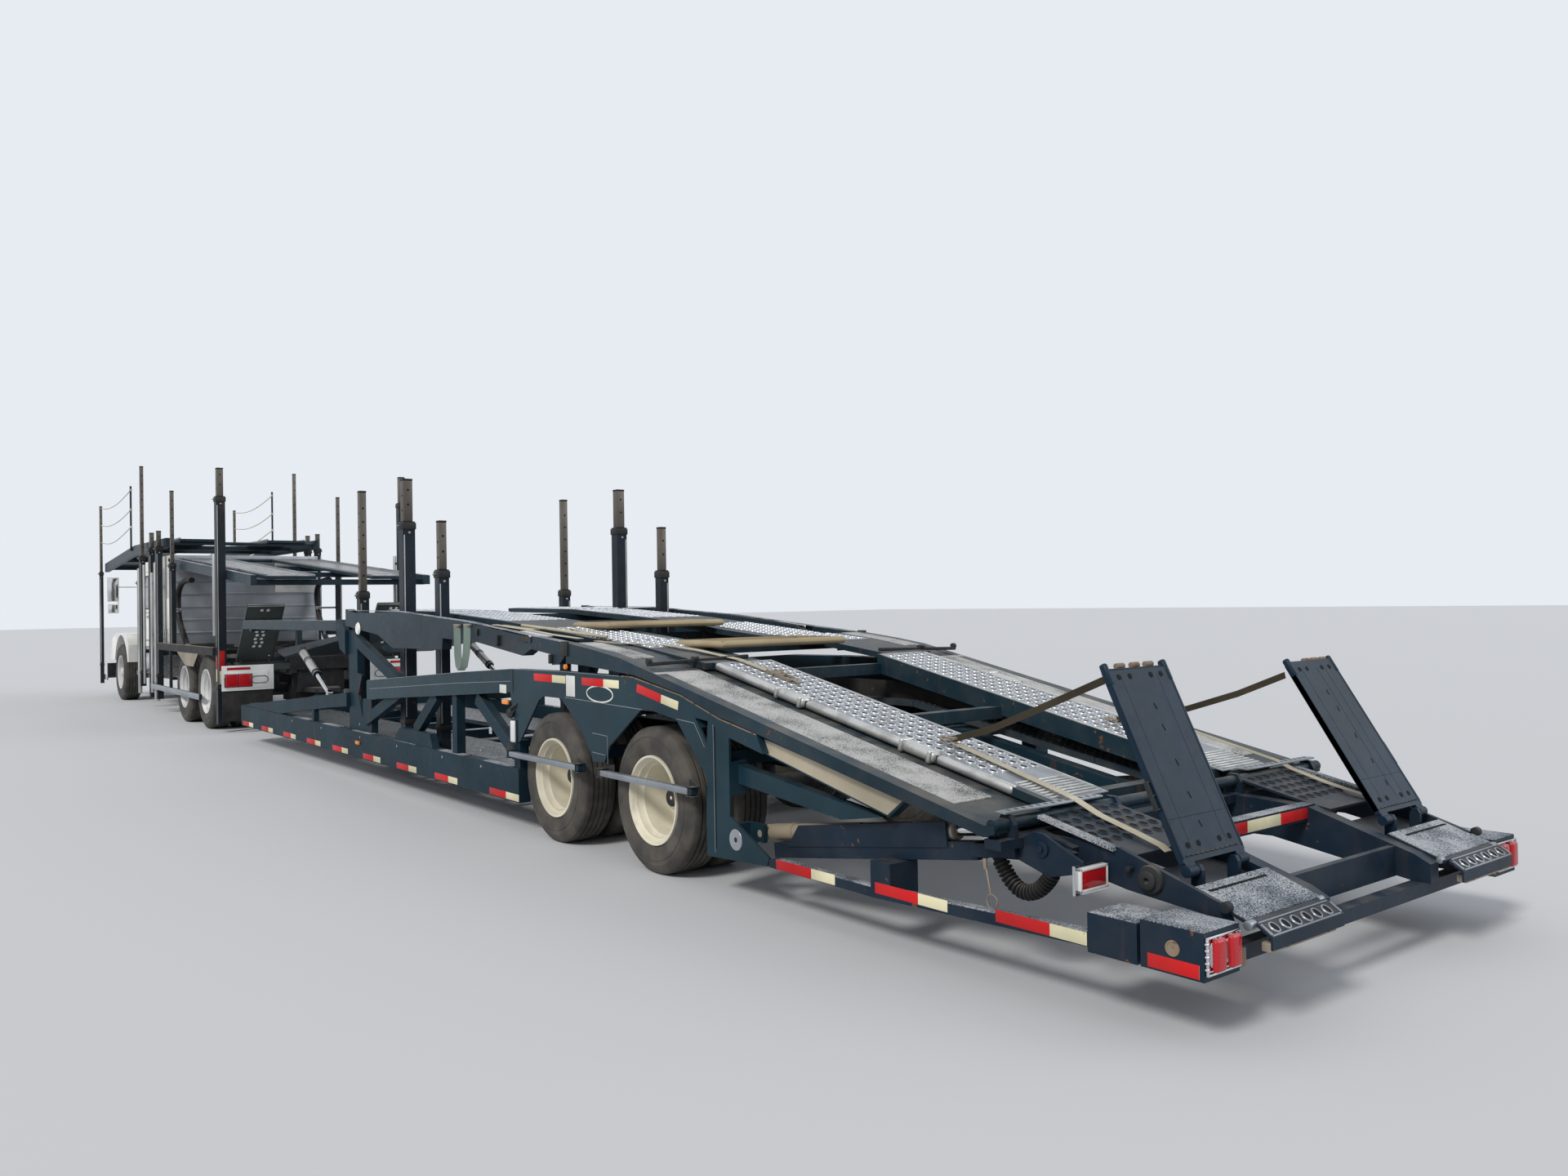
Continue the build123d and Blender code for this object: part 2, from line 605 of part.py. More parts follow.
# Ramp cylinders: barrels on brackets behind the axles and rods to lugs of the rear deck
ramp_slope = (ramp_rod_pin[1] - ramp_barrel_pin[1]) / (ramp_rod_pin[0] - ramp_barrel_pin[0])


def ramp_z(d):
    """Height of a ramp cylinder's middle line at a station."""
    return ramp_barrel_pin[1] + ramp_slope * (d - ramp_barrel_pin[0])


with BuildPart() as ramp_barrels:
    rod(*ramp_barrel_pin, -2330, ramp_z(-2330), ramp_y, 42)
    with Locations((at(ramp_barrel_pin[0]), ramp_y, ramp_barrel_pin[1])):
        Cylinder(40, 60, rotation=(90, 0, 0))
    with Locations((at(ramp_barrel_pin[0]), ramp_y + 45, ramp_barrel_pin[1])):
        Cylinder(20, 46, rotation=(90, 0, 0))
    rod(-2331, ramp_z(-2331), -1750, ramp_z(-1750), ramp_y, 27, mode=Mode.SUBTRACT)
    mirror(about=Plane.XZ)
save(ramp_barrels.part, "ramp_barrels")
with BuildPart() as ramp_rods:
    rod(*ramp_rod_pin, -1950, ramp_z(-1950), ramp_y, 26)
    with Locations((at(ramp_rod_pin[0]), ramp_y, ramp_rod_pin[1])):
        Cylinder(36, 50, rotation=(90, 0, 0))
    mirror(about=Plane.XZ)
save(ramp_rods.part, "ramp_rods")

# Flippers: hinged loading flaps that stand on the tail tracks, each with its own lean towards the deck
for hand, side in sides:
    head = flipper_heads[hand]
    flap_run = Vector(head[0] - flipper_foot[0], 0, head[1] - flipper_foot[1]).normalized()
    flap_low = (flipper_foot[0] + 32 * flap_run.X, flipper_foot[1] + 32 * flap_run.Z)
    with BuildPart() as flipper:
        strut(*flap_low, *head, flipper_outer_y if side > 0 else -flipper_inner_y, 24,
              flipper_outer_y - flipper_inner_y)
        for y in (flipper_inner_y + 35, flipper_outer_y - 37):
            with Locations((at(flipper_foot[0]), side * y, flipper_foot[1])):
                Cylinder(22, 60, rotation=(90, 0, 0))
            strut(*flipper_foot, flipper_foot[0] + 60 * flap_run.X, flipper_foot[1] + 60 * flap_run.Z,
                  side * y + 30, 24, 60)
    save(flipper.part, f"flipper_{hand}")

# Tractor frame: two rails, cross members and the low hitch housing behind the drive axles
with BuildPart() as tractor_frame:
    block(aft(-970), fore(1150), rail_y, rail_y + rail_width, rail_low, rail_high)
    for d in (aft(-920), aft(660), aft(2280), fore(-3100), fore(-1100), fore(1000)):
        block(d - 50, d + 50, 0, rail_y, rail_low + 40, rail_high - 40)
    block(aft(-920), aft(-620), 0, 300, neck_high + clevis_gap, rail_low + 40)
    mirror(about=Plane.XZ)
    for z in (neck_low - clevis_gap - clevis_plate, neck_high + clevis_gap):
        with BuildSketch(Plane.XY.offset(z)) as clevis:
            with Locations((hitch_x, 0)):
                Circle(eye_radius - 20)
            Polygon((hitch_x, 150), (hitch_x, -150), (at(aft(-620)), -300), (at(aft(-620)), 300), align=None)
        extrude(clevis.sketch, amount=clevis_plate)
    block(aft(-800), aft(-620), -300, 300, neck_low - clevis_gap - clevis_plate, neck_high + clevis_gap)
    with Locations((hitch_x, 0, (neck_low + neck_high) / 2)):
        Cylinder(hitch_pin_radius, neck_high - neck_low + 2 * clevis_gap)
save(tractor_frame.part, "tractor_frame")

with BuildPart() as engine_block:
    block(fore(-750), fore(600), -300, 300, 800, 1400)
save(engine_block.part, "engine_block")

# Side guards of the drive axles: long fender beams, hanging plates and lower bars
with BuildPart() as drive_guards:
    block(aft(-645), aft(2980), half_width - 60, half_width - 5, 1000, 1100)
    plate(((aft(180), 1005), (aft(1530), 1005), (aft(980), 815), (aft(480), 815)), half_width - 5, 12)
    block(aft(150), aft(3480), half_width - 40, half_width - 5, 380, 455)
    for d in (aft(2830), aft(2080)):
        block(d - 40, d + 40, rail_y + rail_width, half_width - 60, 1010, 1070)
        block(d - 40, d + 40, rail_y + rail_width - 20, rail_y + rail_width + 40, rail_high, 1070)
    block(aft(2020), aft(2080), half_width - 40, half_width - 5, 455, 1000)
    block(aft(-620), aft(-520), rail_y + rail_width, half_width - 60, 1010, 1070)
    block(aft(-620), aft(-520), rail_y + rail_width - 20, rail_y + rail_width + 40, rail_high, 1070)
    mirror(about=Plane.XZ)
save(drive_guards.part, "drive_guards")

# Tail plates of the tractor: lamp boards with mudflaps, and the loading flap plates above them
flap_run_width = 450
with BuildPart() as tail_plates:
    block(aft(-980), aft(-974), 630, half_width - 35, 550, 870)
    block(aft(-970), aft(-964), 640, half_width - 45, 160, 560)
    block(aft(-974), aft(-950), rail_y + rail_width, half_width - 95, 800, 880)
    for y in (980, 1160):
        block(aft(-992), aft(-980), y - 70, y + 70, 600, 720)
    strut(aft(-820), 915, aft(-1420), 1650, 1050, 24, flap_run_width)
    for y in (650, 1000):
        block(aft(-850), aft(-810), y - 15, y + 15, 860, 940)
    block(aft(-850), aft(-810), rail_y + rail_width, 1015, 860, 900)
    mirror(about=Plane.XZ)
save(tail_plates.part, "tail_plates")

# Posts of the tractor's decks
# columns: station, width place, foot height, collar height, top height, outer size, inner size
tractor_post_y = half_width - 95
tractor_post_table = (
    (aft(-700), tractor_post_y, 110, 3070, 3440, 110, 76),
    (aft(2180), tractor_post_y + 15, 1100, 2300, 3380, 80, 48),
    (fore(-3650), tractor_post_y + 5, 220, 2600, 2840, 90, 60),
    (fore(-3100), tractor_post_y + 5, 220, 2600, 2840, 90, 60),
    (fore(-2320), tractor_post_y + 10, 360, 2500, 3980, 80, 50),
    (fore(-2050), tractor_post_y + 10, 500, 2100, 2260, 60, 44),
    (fore(1870), tractor_post_y, 220, 2360, 3620, 60, 44),
)
with BuildPart() as tractor_posts:
    for d, y, foot, collar, top, size, inner in tractor_post_table:
        block(d - size / 2, d + size / 2, y - size / 2, y + size / 2, foot, collar)
        block(d - inner / 2, d + inner / 2, y - inner / 2, y + inner / 2, collar, top)
    for d in (fore(-3650), fore(-3100), fore(-2320)):
        block(d - 30, d + 30, rail_y + rail_width, tractor_post_y - 30, 900, 960)
    block(fore(-2070), fore(-2030), half_width - 195, tractor_post_y - 15, 505, 555)
    block(aft(-720), aft(-680), rail_y + rail_width, tractor_post_y - 50, 900, 960)
    mirror(about=Plane.XZ)
save(tractor_posts.part, "tractor_posts")

# Tractor deck: the sloping deck behind the sleeper
with BuildPart() as tractor_deck:
    plate(((fore(-4040), 2400), (aft(-1920), 2010), (aft(-1920), 1890), (fore(-4040), 2260)), 1130, 70)
    plate(((fore(-4050), 2390), (aft(-1920), 2000), (aft(-1920), 1960), (fore(-4050), 2350)),
          track_outer_y, track_outer_y - track_inner_y)
    for d, z in ((aft(1380), 2230), (aft(-120), 2100), (aft(-1770), 1960)):
        block(d - 40, d + 40, 0, 1100, z - deck_cross_depth, z)
    cross_bar(*tractor_deck_hinge, hinge_pin_radius, 1150)
    mirror(about=Plane.XZ)
save(tractor_deck.part, "tractor_deck")

# Head deck: the deck over the cab and bonnet, with the slim posts of its safety ropes
with BuildPart() as head_deck:
    plate(((fore(-3880), 2720), (fore(-1240), 2720), (fore(1780), 2510), (fore(1780), 2350),
           (fore(-1240), 2560), (fore(-3880), 2570)), 1150, 70)
    plate(((fore(-3880), 2710), (fore(-1240), 2710), (fore(1780), 2500), (fore(1780), 2460),
           (fore(-1240), 2670), (fore(-3880), 2670)), track_outer_y, track_outer_y - track_inner_y)
    for d, z in ((fore(-2500), 2670), (fore(-1200), 2670), (fore(300), 2560), (fore(1700), 2460)):
        block(d - 40, d + 40, 0, 1100, z - deck_cross_depth, z)
    cross_bar(*head_deck_hinge, hinge_pin_radius, 1150)
    with Locations((at(fore(-1070)), 1165, 3200)):
        Cylinder(16, 1120)
    mirror(about=Plane.XZ)
save(head_deck.part, "head_deck")

# Cab shell: hollow, with door openings, a windscreen opening and a way through to the sleeper
cab_outline = (
    (fore(-2300), floor_z - wall), (fore(-850), floor_z - wall), (fore(-850), cowl_z),
    (fore(-1240), 2340), (fore(-1360), roof_z), (fore(-2300), roof_z),
)
cab_inside = (
    (fore(-2300) + wall, floor_z), (fore(-850) - wall, floor_z), (fore(-850) - wall, cowl_z - 20),
    (fore(-1290), 2300), (fore(-1380), roof_z - wall), (fore(-2300) + wall, roof_z - wall),
)
door_outline = (
    (fore(-1880), floor_z + 20), (fore(-910), floor_z + 20), (fore(-910), cowl_z - 30),
    (fore(-1310), 2250), (fore(-1880), 2250),
)
door_window = ((fore(-1780), 1640), (fore(-1000), 1640), (fore(-1340), 2170), (fore(-1780), 2170))
with BuildPart() as cab_shell:
    plate(cab_outline, cab_half_width, 2 * cab_half_width)
    plate(cab_inside, cab_half_width - wall, 2 * (cab_half_width - wall), mode=Mode.SUBTRACT)
    plate(door_outline, cab_half_width + 5, 2 * cab_half_width + 10, mode=Mode.SUBTRACT)
    plate(((fore(-1000), cowl_z + 60), (fore(-800), cowl_z + 60), (fore(-1100), 2280), (fore(-1400), 2280)),
          cab_half_width - 110, 2 * (cab_half_width - 110), mode=Mode.SUBTRACT)
    block(fore(-2400), fore(-2200), -600, 600, floor_z, 2250, mode=Mode.SUBTRACT)
save(cab_shell.part, "cab_shell")

with BuildPart() as windscreen:
    plate(((fore(-898), cowl_z + 62), (fore(-888), cowl_z + 62), (fore(-1205), 2278), (fore(-1215), 2278)),
          cab_half_width - 112, 2 * (cab_half_width - 112))
save(windscreen.part, "windscreen")

# Doors, each with its two hinge barrels on the outer face, and their window glass
for hand, side in sides:
    outer = cab_half_width if side > 0 else -cab_half_width + wall
    with BuildPart() as door:
        inset = (
            (fore(-1880) + door_gap, floor_z + 20 + door_gap),
            (fore(-910) - door_gap, floor_z + 20 + door_gap),
            (fore(-910) - door_gap, cowl_z - 34), (fore(-1314), 2250 - door_gap),
            (fore(-1880) + door_gap, 2250 - door_gap),
        )
        plate(inset, outer, wall)
        plate(door_window, outer + 5, wall + 10, mode=Mode.SUBTRACT)
        block(fore(-1800), fore(-1680), side * cab_half_width, side * (cab_half_width + 20), 1480, 1510)
        for z in (1180, 1540):
            block(fore(-960), fore(-904), side * cab_half_width, side * (cab_half_width + 8), z - 30, z + 30)
            with Locations((at(fore(-904)), side * (cab_half_width + 12), z)):
                Cylinder(10, 60)
    save(door.part, f"door_{hand}")
    with BuildPart() as door_glass:
        plate(door_window, side * (cab_half_width - 26) + glass / 2, glass)
    save(door_glass.part, f"door_glass_{hand}")

# Sleeper box: hollow, ribbed on its rear wall, open at the front to the cab
sleeper_inside = sleeper_half_width - wall
with BuildPart() as sleeper_box:
    block(fore(-4000), fore(-2305), -sleeper_half_width, sleeper_half_width, floor_z - wall, 2450)
    block(fore(-4000) + wall, fore(-2305) - wall, -sleeper_inside, sleeper_inside, floor_z, 2450 - wall,
          mode=Mode.SUBTRACT)
    block(fore(-2400), fore(-2200), -600, 600, floor_z, 2250, mode=Mode.SUBTRACT)
    for z in (1250, 1450, 1650, 1850, 2050, 2250):
        block(fore(-4012), fore(-4000), -sleeper_half_width + 60, sleeper_half_width - 60, z - 12, z + 12)
save(sleeper_box.part, "sleeper_box")

# Cab interior: seats, dash and steering wheel
with BuildPart() as cab_interior:
    for y in (-480, 480):
        block(fore(-1850), fore(-1350), y - 240, y + 240, floor_z, 1480)
        block(fore(-1970), fore(-1850), y - 230, y + 230, 1200, 2100)
    block(fore(-1120), fore(-920), -900, 900, 1350, 1640)
    with Locations(Location((at(fore(-1220)), 480, 1640), (0, -60, 0))):
        Torus(200, 16)
    rod(fore(-1220), 1640, fore(-1100), 1570, 480, 24)
save(cab_interior.part, "cab_interior")

# Bonnet with its fenders and tilt lugs
with BuildPart() as hood:
    with BuildSketch(Plane.YZ.offset(at(fore(-830)))) as back:
        with Locations((0, 1340)):
            RectangleRounded(1560, 700, 120)
    with BuildSketch(Plane.YZ.offset(at(fore(1300)))) as nose:
        with Locations((0, 1090)):
            RectangleRounded(1040, 760, 120)
    loft([back.sketch, nose.sketch], ruled=True)
    with BuildSketch(Plane.YZ.offset(at(fore(-840)))) as back:
        with Locations((0, 1250)):
            RectangleRounded(1480, 800, 90)
    with BuildSketch(Plane.YZ.offset(at(fore(1260)))) as nose:
        with Locations((0, 1010)):
            RectangleRounded(960, 840, 90)
    loft([back.sketch, nose.sketch], ruled=True, mode=Mode.SUBTRACT)
    for side in (1, -1):
        outer = 1170 if side > 0 else -660
        plate(((fore(-740), 700), (fore(-740), 1000), (fore(-500), 1195), (fore(500), 1195),
               (fore(1000), 1060), (fore(1120), 700)), outer, 510)
    block(fore(-800), fore(1200), -600, 600, 400, 1000, mode=Mode.SUBTRACT)
    for outer in (1300, -600):
        with BuildSketch(Plane.XZ.offset(-outer)) as wheel_space:
            with Locations((steer_x, drive_tyre_radius)):
                Circle(665)
        extrude(wheel_space.sketch, amount=700, mode=Mode.SUBTRACT)
    block(fore(1240), fore(1320), -400, 400, 790, 1390, mode=Mode.SUBTRACT)
    for outer in (hood_lug_y + 22, -hood_lug_y):
        plate(((fore(1170), 610), (fore(1230), 610), (fore(1290), 730), (fore(1290), 800), (fore(1250), 800)),
              outer, 22)
    cross_bar(*hood_hinge, 17, hood_lug_y + 40, mode=Mode.SUBTRACT)
save(hood.part, "hood")

# Grille with upright bars and the headlamps
with BuildPart() as grille:
    block(fore(1300), fore(1340), -440, 440, 750, 1430)
    block(fore(1300), fore(1340), -400, 400, 790, 1390, mode=Mode.SUBTRACT)
    for y in range(-350, 351, 100):
        block(fore(1305), fore(1325), y - 12, y + 12, 790, 1390)
    for side in (1, -1):
        with Locations(Location((at(fore(1125)), side * 930, 900), (0, -18, 0))):
            Box(60, 300, 170)
save(grille.part, "grille")

# Bumper with its brackets, the bonnet's tilt pins and the tow brackets
tow_y = 1181
with BuildPart() as front_bumper:
    with BuildSketch(Plane.XY.offset(340)) as bumper:
        Polygon(
            (at(fore(1400)), -1190), (at(fore(1550)), -1000), (at(fore(1550)), 1000), (at(fore(1400)), 1190),
            (at(fore(1340)), 1190), (at(fore(1340)), -1190), align=None,
        )
    extrude(bumper.sketch, amount=280)
    for side in (1, -1):
        block(fore(1050), fore(1150), side * 375 - 40, side * 375 + 40, 560, rail_low)
        block(fore(1050), fore(1340), side * 375 - 40, side * 375 + 40, 560, 612)
        block(fore(1160), fore(1240), side * 375 - 40, side * 375 + 40, 600, 665)
        block(fore(1400), fore(1840), side * tow_y - 9, side * tow_y + 9, 300, 400)
    cross_bar(*hood_hinge, 16, hood_lug_y + 26)
    block(fore(1180), fore(1220), -334, 334, 600, 690, mode=Mode.SUBTRACT)
    cross_bar(*tow_bore, 21, tow_y + 20, mode=Mode.SUBTRACT)
save(front_bumper.part, "front_bumper")

# Fuel tanks below the cab, and steps on them
tank_step_y = half_width - 215
with BuildPart() as fuel_tanks:
    for side in (1, -1):
        with Locations(Location((at(fore(-1600)), side * 800, 715), (0, 90, 0))):
            Cylinder(260, 1300)
        block(fore(-2100), fore(-1100), side * tank_step_y - 20, side * tank_step_y + 20, 500, 560)
        block(fore(-1620), fore(-1580), side * 900, side * tank_step_y, 510, 550)
        block(fore(-1620), fore(-1580), side * 340, side * 560, 680, rail_low)
save(fuel_tanks.part, "fuel_tanks")

# Mirrors on arms ahead of the doors
with BuildPart() as mirrors:
    for side in (1, -1):
        block(fore(-1112), fore(-850), side * 1030, side * 1052, 2000, 2024)
        block(fore(-880), fore(-850), side * 1030, side * 1350, 2000, 2024)
        block(fore(-890), fore(-830), side * 1420 - 90, side * 1420 + 90, 1760, 2180)
        block(fore(-880), fore(-840), side * 1420 - 80, side * 1420 + 80, 1560, 1720)
        block(fore(-875), fore(-855), side * 1340 - 8, side * 1340 + 8, 1560, 2010)
save(mirrors.part, "mirrors")
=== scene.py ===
from math import cos, pi, radians, sin

import bmesh
import bpy
from mathutils import Matrix, Vector


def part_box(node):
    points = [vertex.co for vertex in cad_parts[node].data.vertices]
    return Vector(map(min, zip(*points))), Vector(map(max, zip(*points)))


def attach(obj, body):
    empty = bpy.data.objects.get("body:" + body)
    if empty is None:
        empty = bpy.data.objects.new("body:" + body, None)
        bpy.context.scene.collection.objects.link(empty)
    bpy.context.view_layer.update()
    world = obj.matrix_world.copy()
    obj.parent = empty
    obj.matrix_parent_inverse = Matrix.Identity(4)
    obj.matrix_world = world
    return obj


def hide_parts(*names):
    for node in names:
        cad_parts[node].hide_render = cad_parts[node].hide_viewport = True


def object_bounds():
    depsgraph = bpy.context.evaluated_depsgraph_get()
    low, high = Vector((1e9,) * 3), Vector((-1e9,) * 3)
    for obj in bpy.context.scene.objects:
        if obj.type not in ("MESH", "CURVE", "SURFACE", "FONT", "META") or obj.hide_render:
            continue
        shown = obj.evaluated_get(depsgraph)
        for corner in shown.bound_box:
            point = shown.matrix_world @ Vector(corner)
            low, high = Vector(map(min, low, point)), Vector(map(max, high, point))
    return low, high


# The car transporter's looks: paint, worn metal, tyres, lamps and the small fittings that the
# solids leave out. Metres, +X ahead, +Y to the left, +Z up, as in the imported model.

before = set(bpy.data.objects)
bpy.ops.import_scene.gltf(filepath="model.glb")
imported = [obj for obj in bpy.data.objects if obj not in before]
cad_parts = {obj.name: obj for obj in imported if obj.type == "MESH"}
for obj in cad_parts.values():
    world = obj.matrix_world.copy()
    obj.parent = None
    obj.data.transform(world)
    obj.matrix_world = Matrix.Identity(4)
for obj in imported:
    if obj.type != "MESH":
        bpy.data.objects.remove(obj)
cad_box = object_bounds()
half_width = 1.295
# Skins and fittings on the side face start half a millimetre inside it
face_y = half_width - 0.0005
# Metres ahead of the trailer's rear axle: the frame's middle, the steered axle, the rear drive axle
middle_place = 8.225
steered_axle = 18.300
rear_drive_axle = 11.420


def at(d):
    """x of a place given in metres ahead of the trailer's rear axle."""
    return d - middle_place


def fore(n):
    """x of a place n ahead of the steered axle."""
    return at(steered_axle + n)


def aft(n):
    """x of a place n ahead of the rear drive axle."""
    return at(rear_drive_axle + n)


def route(points, side=1):
    """A strap's or hose's points, given as metres ahead of the trailer's rear axle, across and up."""
    return [(at(d), side * y, z) for d, y, z in points]


# Modelling by hand

def rest():
    """Back to object mode with nothing selected."""
    if bpy.context.object and bpy.context.object.mode != "OBJECT":
        bpy.ops.object.mode_set(mode="OBJECT")
    bpy.ops.object.select_all(action="DESELECT")


def take(piece):
    """Makes one piece the only selected and active one."""
    rest()
    piece.select_set(True)
    bpy.context.view_layer.objects.active = piece


def settle(piece):
    """Puts a piece's place into its mesh, with its object at the origin."""
    take(piece)
    bpy.ops.object.transform_apply(location=True, rotation=True, scale=True)


def pick(piece, test):
    """In edit mode, selects the faces whose middle and normal pass the test."""
    take(piece)
    bpy.ops.object.mode_set(mode="EDIT")
    bpy.ops.mesh.select_mode(type="FACE")
    bpy.ops.mesh.select_all(action="DESELECT")
    mesh = bmesh.from_edit_mesh(piece.data)
    for face in mesh.faces:
        face.select = bool(test(face.calc_center_median(), face.normal))
    mesh.select_flush_mode()
    bmesh.update_edit_mesh(piece.data)


def modify(piece, kind, **values):
    """Adds one modifier with its values and applies it."""
    take(piece)
    bpy.ops.object.modifier_add(type=kind)
    modifier = piece.modifiers[-1]
    for key, value in values.items():
        setattr(modifier, key, value)
    bpy.ops.object.modifier_apply(modifier=modifier.name)
    return piece


def smooth(angle=40):
    """Shades the active piece smooth, with its edges sharp above an angle in degrees."""
    bpy.ops.object.shade_smooth_by_angle(angle=radians(angle))


def extrude(x, y, z):
    """In edit mode, draws what is selected out by a move."""
    bpy.ops.mesh.extrude_region_move(TRANSFORM_OT_translate={"value": (x, y, z)})


def soften(piece, width=0.003, segments=2, angle=35):
    """Rounds a piece's edges and shades it smooth."""
    modify(piece, "BEVEL", width=width, segments=segments, limit_method="ANGLE", angle_limit=radians(angle))
    smooth()
    return piece


def both_sides(piece):
    """Mirrors a piece across the vehicle's middle."""
    return modify(piece, "MIRROR", use_axis=(False, True, False), use_mirror_merge=False)


def copied(piece, move):
    """A copy with its own mesh, moved."""
    twin = piece.copy()
    twin.data = piece.data.copy()
    twin.data.transform(Matrix.Translation(Vector(move)))
    bpy.context.scene.collection.objects.link(twin)
    return twin


def joined(pieces):
    """One piece of several."""
    rest()
    for piece in pieces:
        piece.select_set(True)
    bpy.context.view_layer.objects.active = pieces[0]
    if len(pieces) > 1:
        bpy.ops.object.join()
    return pieces[0]


def spread(piece, moves):
    """Copies a piece by each of the moves and joins them all."""
    return joined([piece] + [copied(piece, move) for move in moves])


def bar(x0, x1, y0, y1, z0, z1, round_edge=0.003):
    """A squared bar or plate with rounded edges, between two corners."""
    rest()
    bpy.ops.mesh.primitive_cube_add(
        size=1, location=((x0 + x1) / 2, (y0 + y1) / 2, (z0 + z1) / 2),
        scale=(abs(x1 - x0), abs(y1 - y0), abs(z1 - z0)))
    piece = bpy.context.object
    settle(piece)
    if round_edge:
        soften(piece, round_edge)
    return piece


def leaning(start, end, width, depth, round_edge=0.003, steps=2):
    """A squared bar whose middle line runs between two points, its width across the vehicle."""
    start, end = Vector(start), Vector(end)
    run = end - start
    rest()
    bpy.ops.mesh.primitive_cube_add(size=1)
    piece = bpy.context.object
    ahead = run.normalized()
    across = Vector((0, 1, 0)) if abs(ahead.y) < 0.9 else Vector((1, 0, 0))
    across = (across - ahead * across.dot(ahead)).normalized()
    turn = Matrix((ahead, across, ahead.cross(across))).transposed().to_4x4()
    piece.matrix_world = (Matrix.Translation((start + end) / 2) @ turn
                          @ Matrix.Diagonal((run.length, width, depth, 1)))
    settle(piece)
    if round_edge:
        soften(piece, round_edge, steps)
    return piece


def round_bar(start, end, radius, sides=20, round_edge=0.002):
    """A turned bar between two points, with chamfered ends."""
    start, end = Vector(start), Vector(end)
    run = end - start
    rest()
    bpy.ops.mesh.primitive_cone_add(vertices=sides, radius1=radius, radius2=radius, depth=run.length)
    piece = bpy.context.object
    piece.matrix_world = (Matrix.Translation((start + end) / 2)
                          @ Vector((0, 0, 1)).rotation_difference(run).to_matrix().to_4x4())
    settle(piece)
    if round_edge:
        soften(piece, round_edge)
    else:
        smooth()
    return piece


def turned(axle, profile, steps=56):
    """A piece turned about a cross axle: a line of (place across, radius) points, spun right round."""
    x, z = axle
    rest()
    bpy.ops.mesh.primitive_plane_add(size=0.001, location=(x, profile[0][0], z + profile[0][1]))
    piece = bpy.context.object
    settle(piece)
    bpy.ops.object.mode_set(mode="EDIT")
    bpy.ops.mesh.select_mode(type="VERT")
    bpy.ops.mesh.select_all(action="SELECT")
    bpy.ops.mesh.merge(type="CENTER")
    place = profile[0]
    for following in profile[1:]:
        extrude(0, following[0] - place[0], following[1] - place[1])
        place = following
    bpy.ops.mesh.select_all(action="SELECT")
    bpy.ops.mesh.spin(steps=steps, angle=2 * pi, center=(x, 0, z), axis=(0, 1, 0))
    bpy.ops.mesh.select_all(action="SELECT")
    bpy.ops.mesh.remove_doubles(threshold=0.00005)
    bpy.ops.mesh.normals_make_consistent(inside=False)
    take(piece)
    smooth(38)
    return piece


def hose(points, radius, sides):
    """A smooth pipe or hose through given points, made a mesh."""
    curve = bpy.data.curves.new("pipe", "CURVE")
    curve.dimensions = "3D"
    line = curve.splines.new("NURBS")
    line.points.add(len(points) - 1)
    for point, place in zip(line.points, points):
        point.co = (*place, 1)
    line.order_u = 3
    line.use_endpoint_u = True
    line.resolution_u = 6
    curve.bevel_depth = radius
    curve.bevel_resolution = sides
    curve.use_fill_caps = True
    piece = bpy.data.objects.new("pipe", curve)
    bpy.context.scene.collection.objects.link(piece)
    take(piece)
    bpy.ops.object.convert(target="MESH")
    piece = bpy.context.object
    smooth(50)
    return piece


def ribbon(points, width, thickness, across=(0, 1, 0)):
    """A strap or strip: one edge drawn out from point to point, then given its thickness."""
    across = Vector(across).normalized()
    rest()
    bpy.ops.mesh.primitive_plane_add(size=width)
    piece = bpy.context.object
    turn = Vector((1, 0, 0)).rotation_difference(across).to_matrix().to_4x4()
    piece.matrix_world = Matrix.Translation(points[0]) @ turn @ Matrix.Translation((0, width / 2, 0))
    settle(piece)
    bpy.ops.object.mode_set(mode="EDIT")
    bpy.ops.mesh.select_mode(type="VERT")
    mesh = bmesh.from_edit_mesh(piece.data)
    near = Vector(points[0])
    reach = sorted((abs((v.co - near).length - width / 2), v.index) for v in mesh.verts)
    keep = {index for _, index in reach[:2]}
    for v in mesh.verts:
        v.select = v.index not in keep
    mesh.select_flush_mode()
    bmesh.update_edit_mesh(piece.data)
    bpy.ops.mesh.delete(type="VERT")
    bpy.ops.mesh.select_all(action="SELECT")
    for first, second in zip(points, points[1:]):
        extrude(*(b - a for a, b in zip(first, second)))
    bpy.ops.mesh.select_all(action="SELECT")
    bpy.ops.mesh.normals_make_consistent(inside=False)
    modify(piece, "SOLIDIFY", thickness=thickness, offset=0)
    smooth()
    return piece


def outline_plate(points, y, thickness, round_edge=0.003):
    """A side plate cut to an outline of (x, z) points, from y inwards, towards the middle."""
    rest()
    bpy.ops.mesh.primitive_circle_add(vertices=len(points), fill_type="NGON", radius=1)
    piece = bpy.context.object
    for vertex, (x, z) in zip(piece.data.vertices, points):
        vertex.co = (x, y, z)
    bpy.ops.object.mode_set(mode="EDIT")
    bpy.ops.mesh.select_all(action="SELECT")
    extrude(0, -thickness if y > 0 else thickness, 0)
    bpy.ops.mesh.select_all(action="SELECT")
    bpy.ops.mesh.normals_make_consistent(inside=False)
    rest()
    if round_edge:
        soften(piece, round_edge, 1)
    return piece


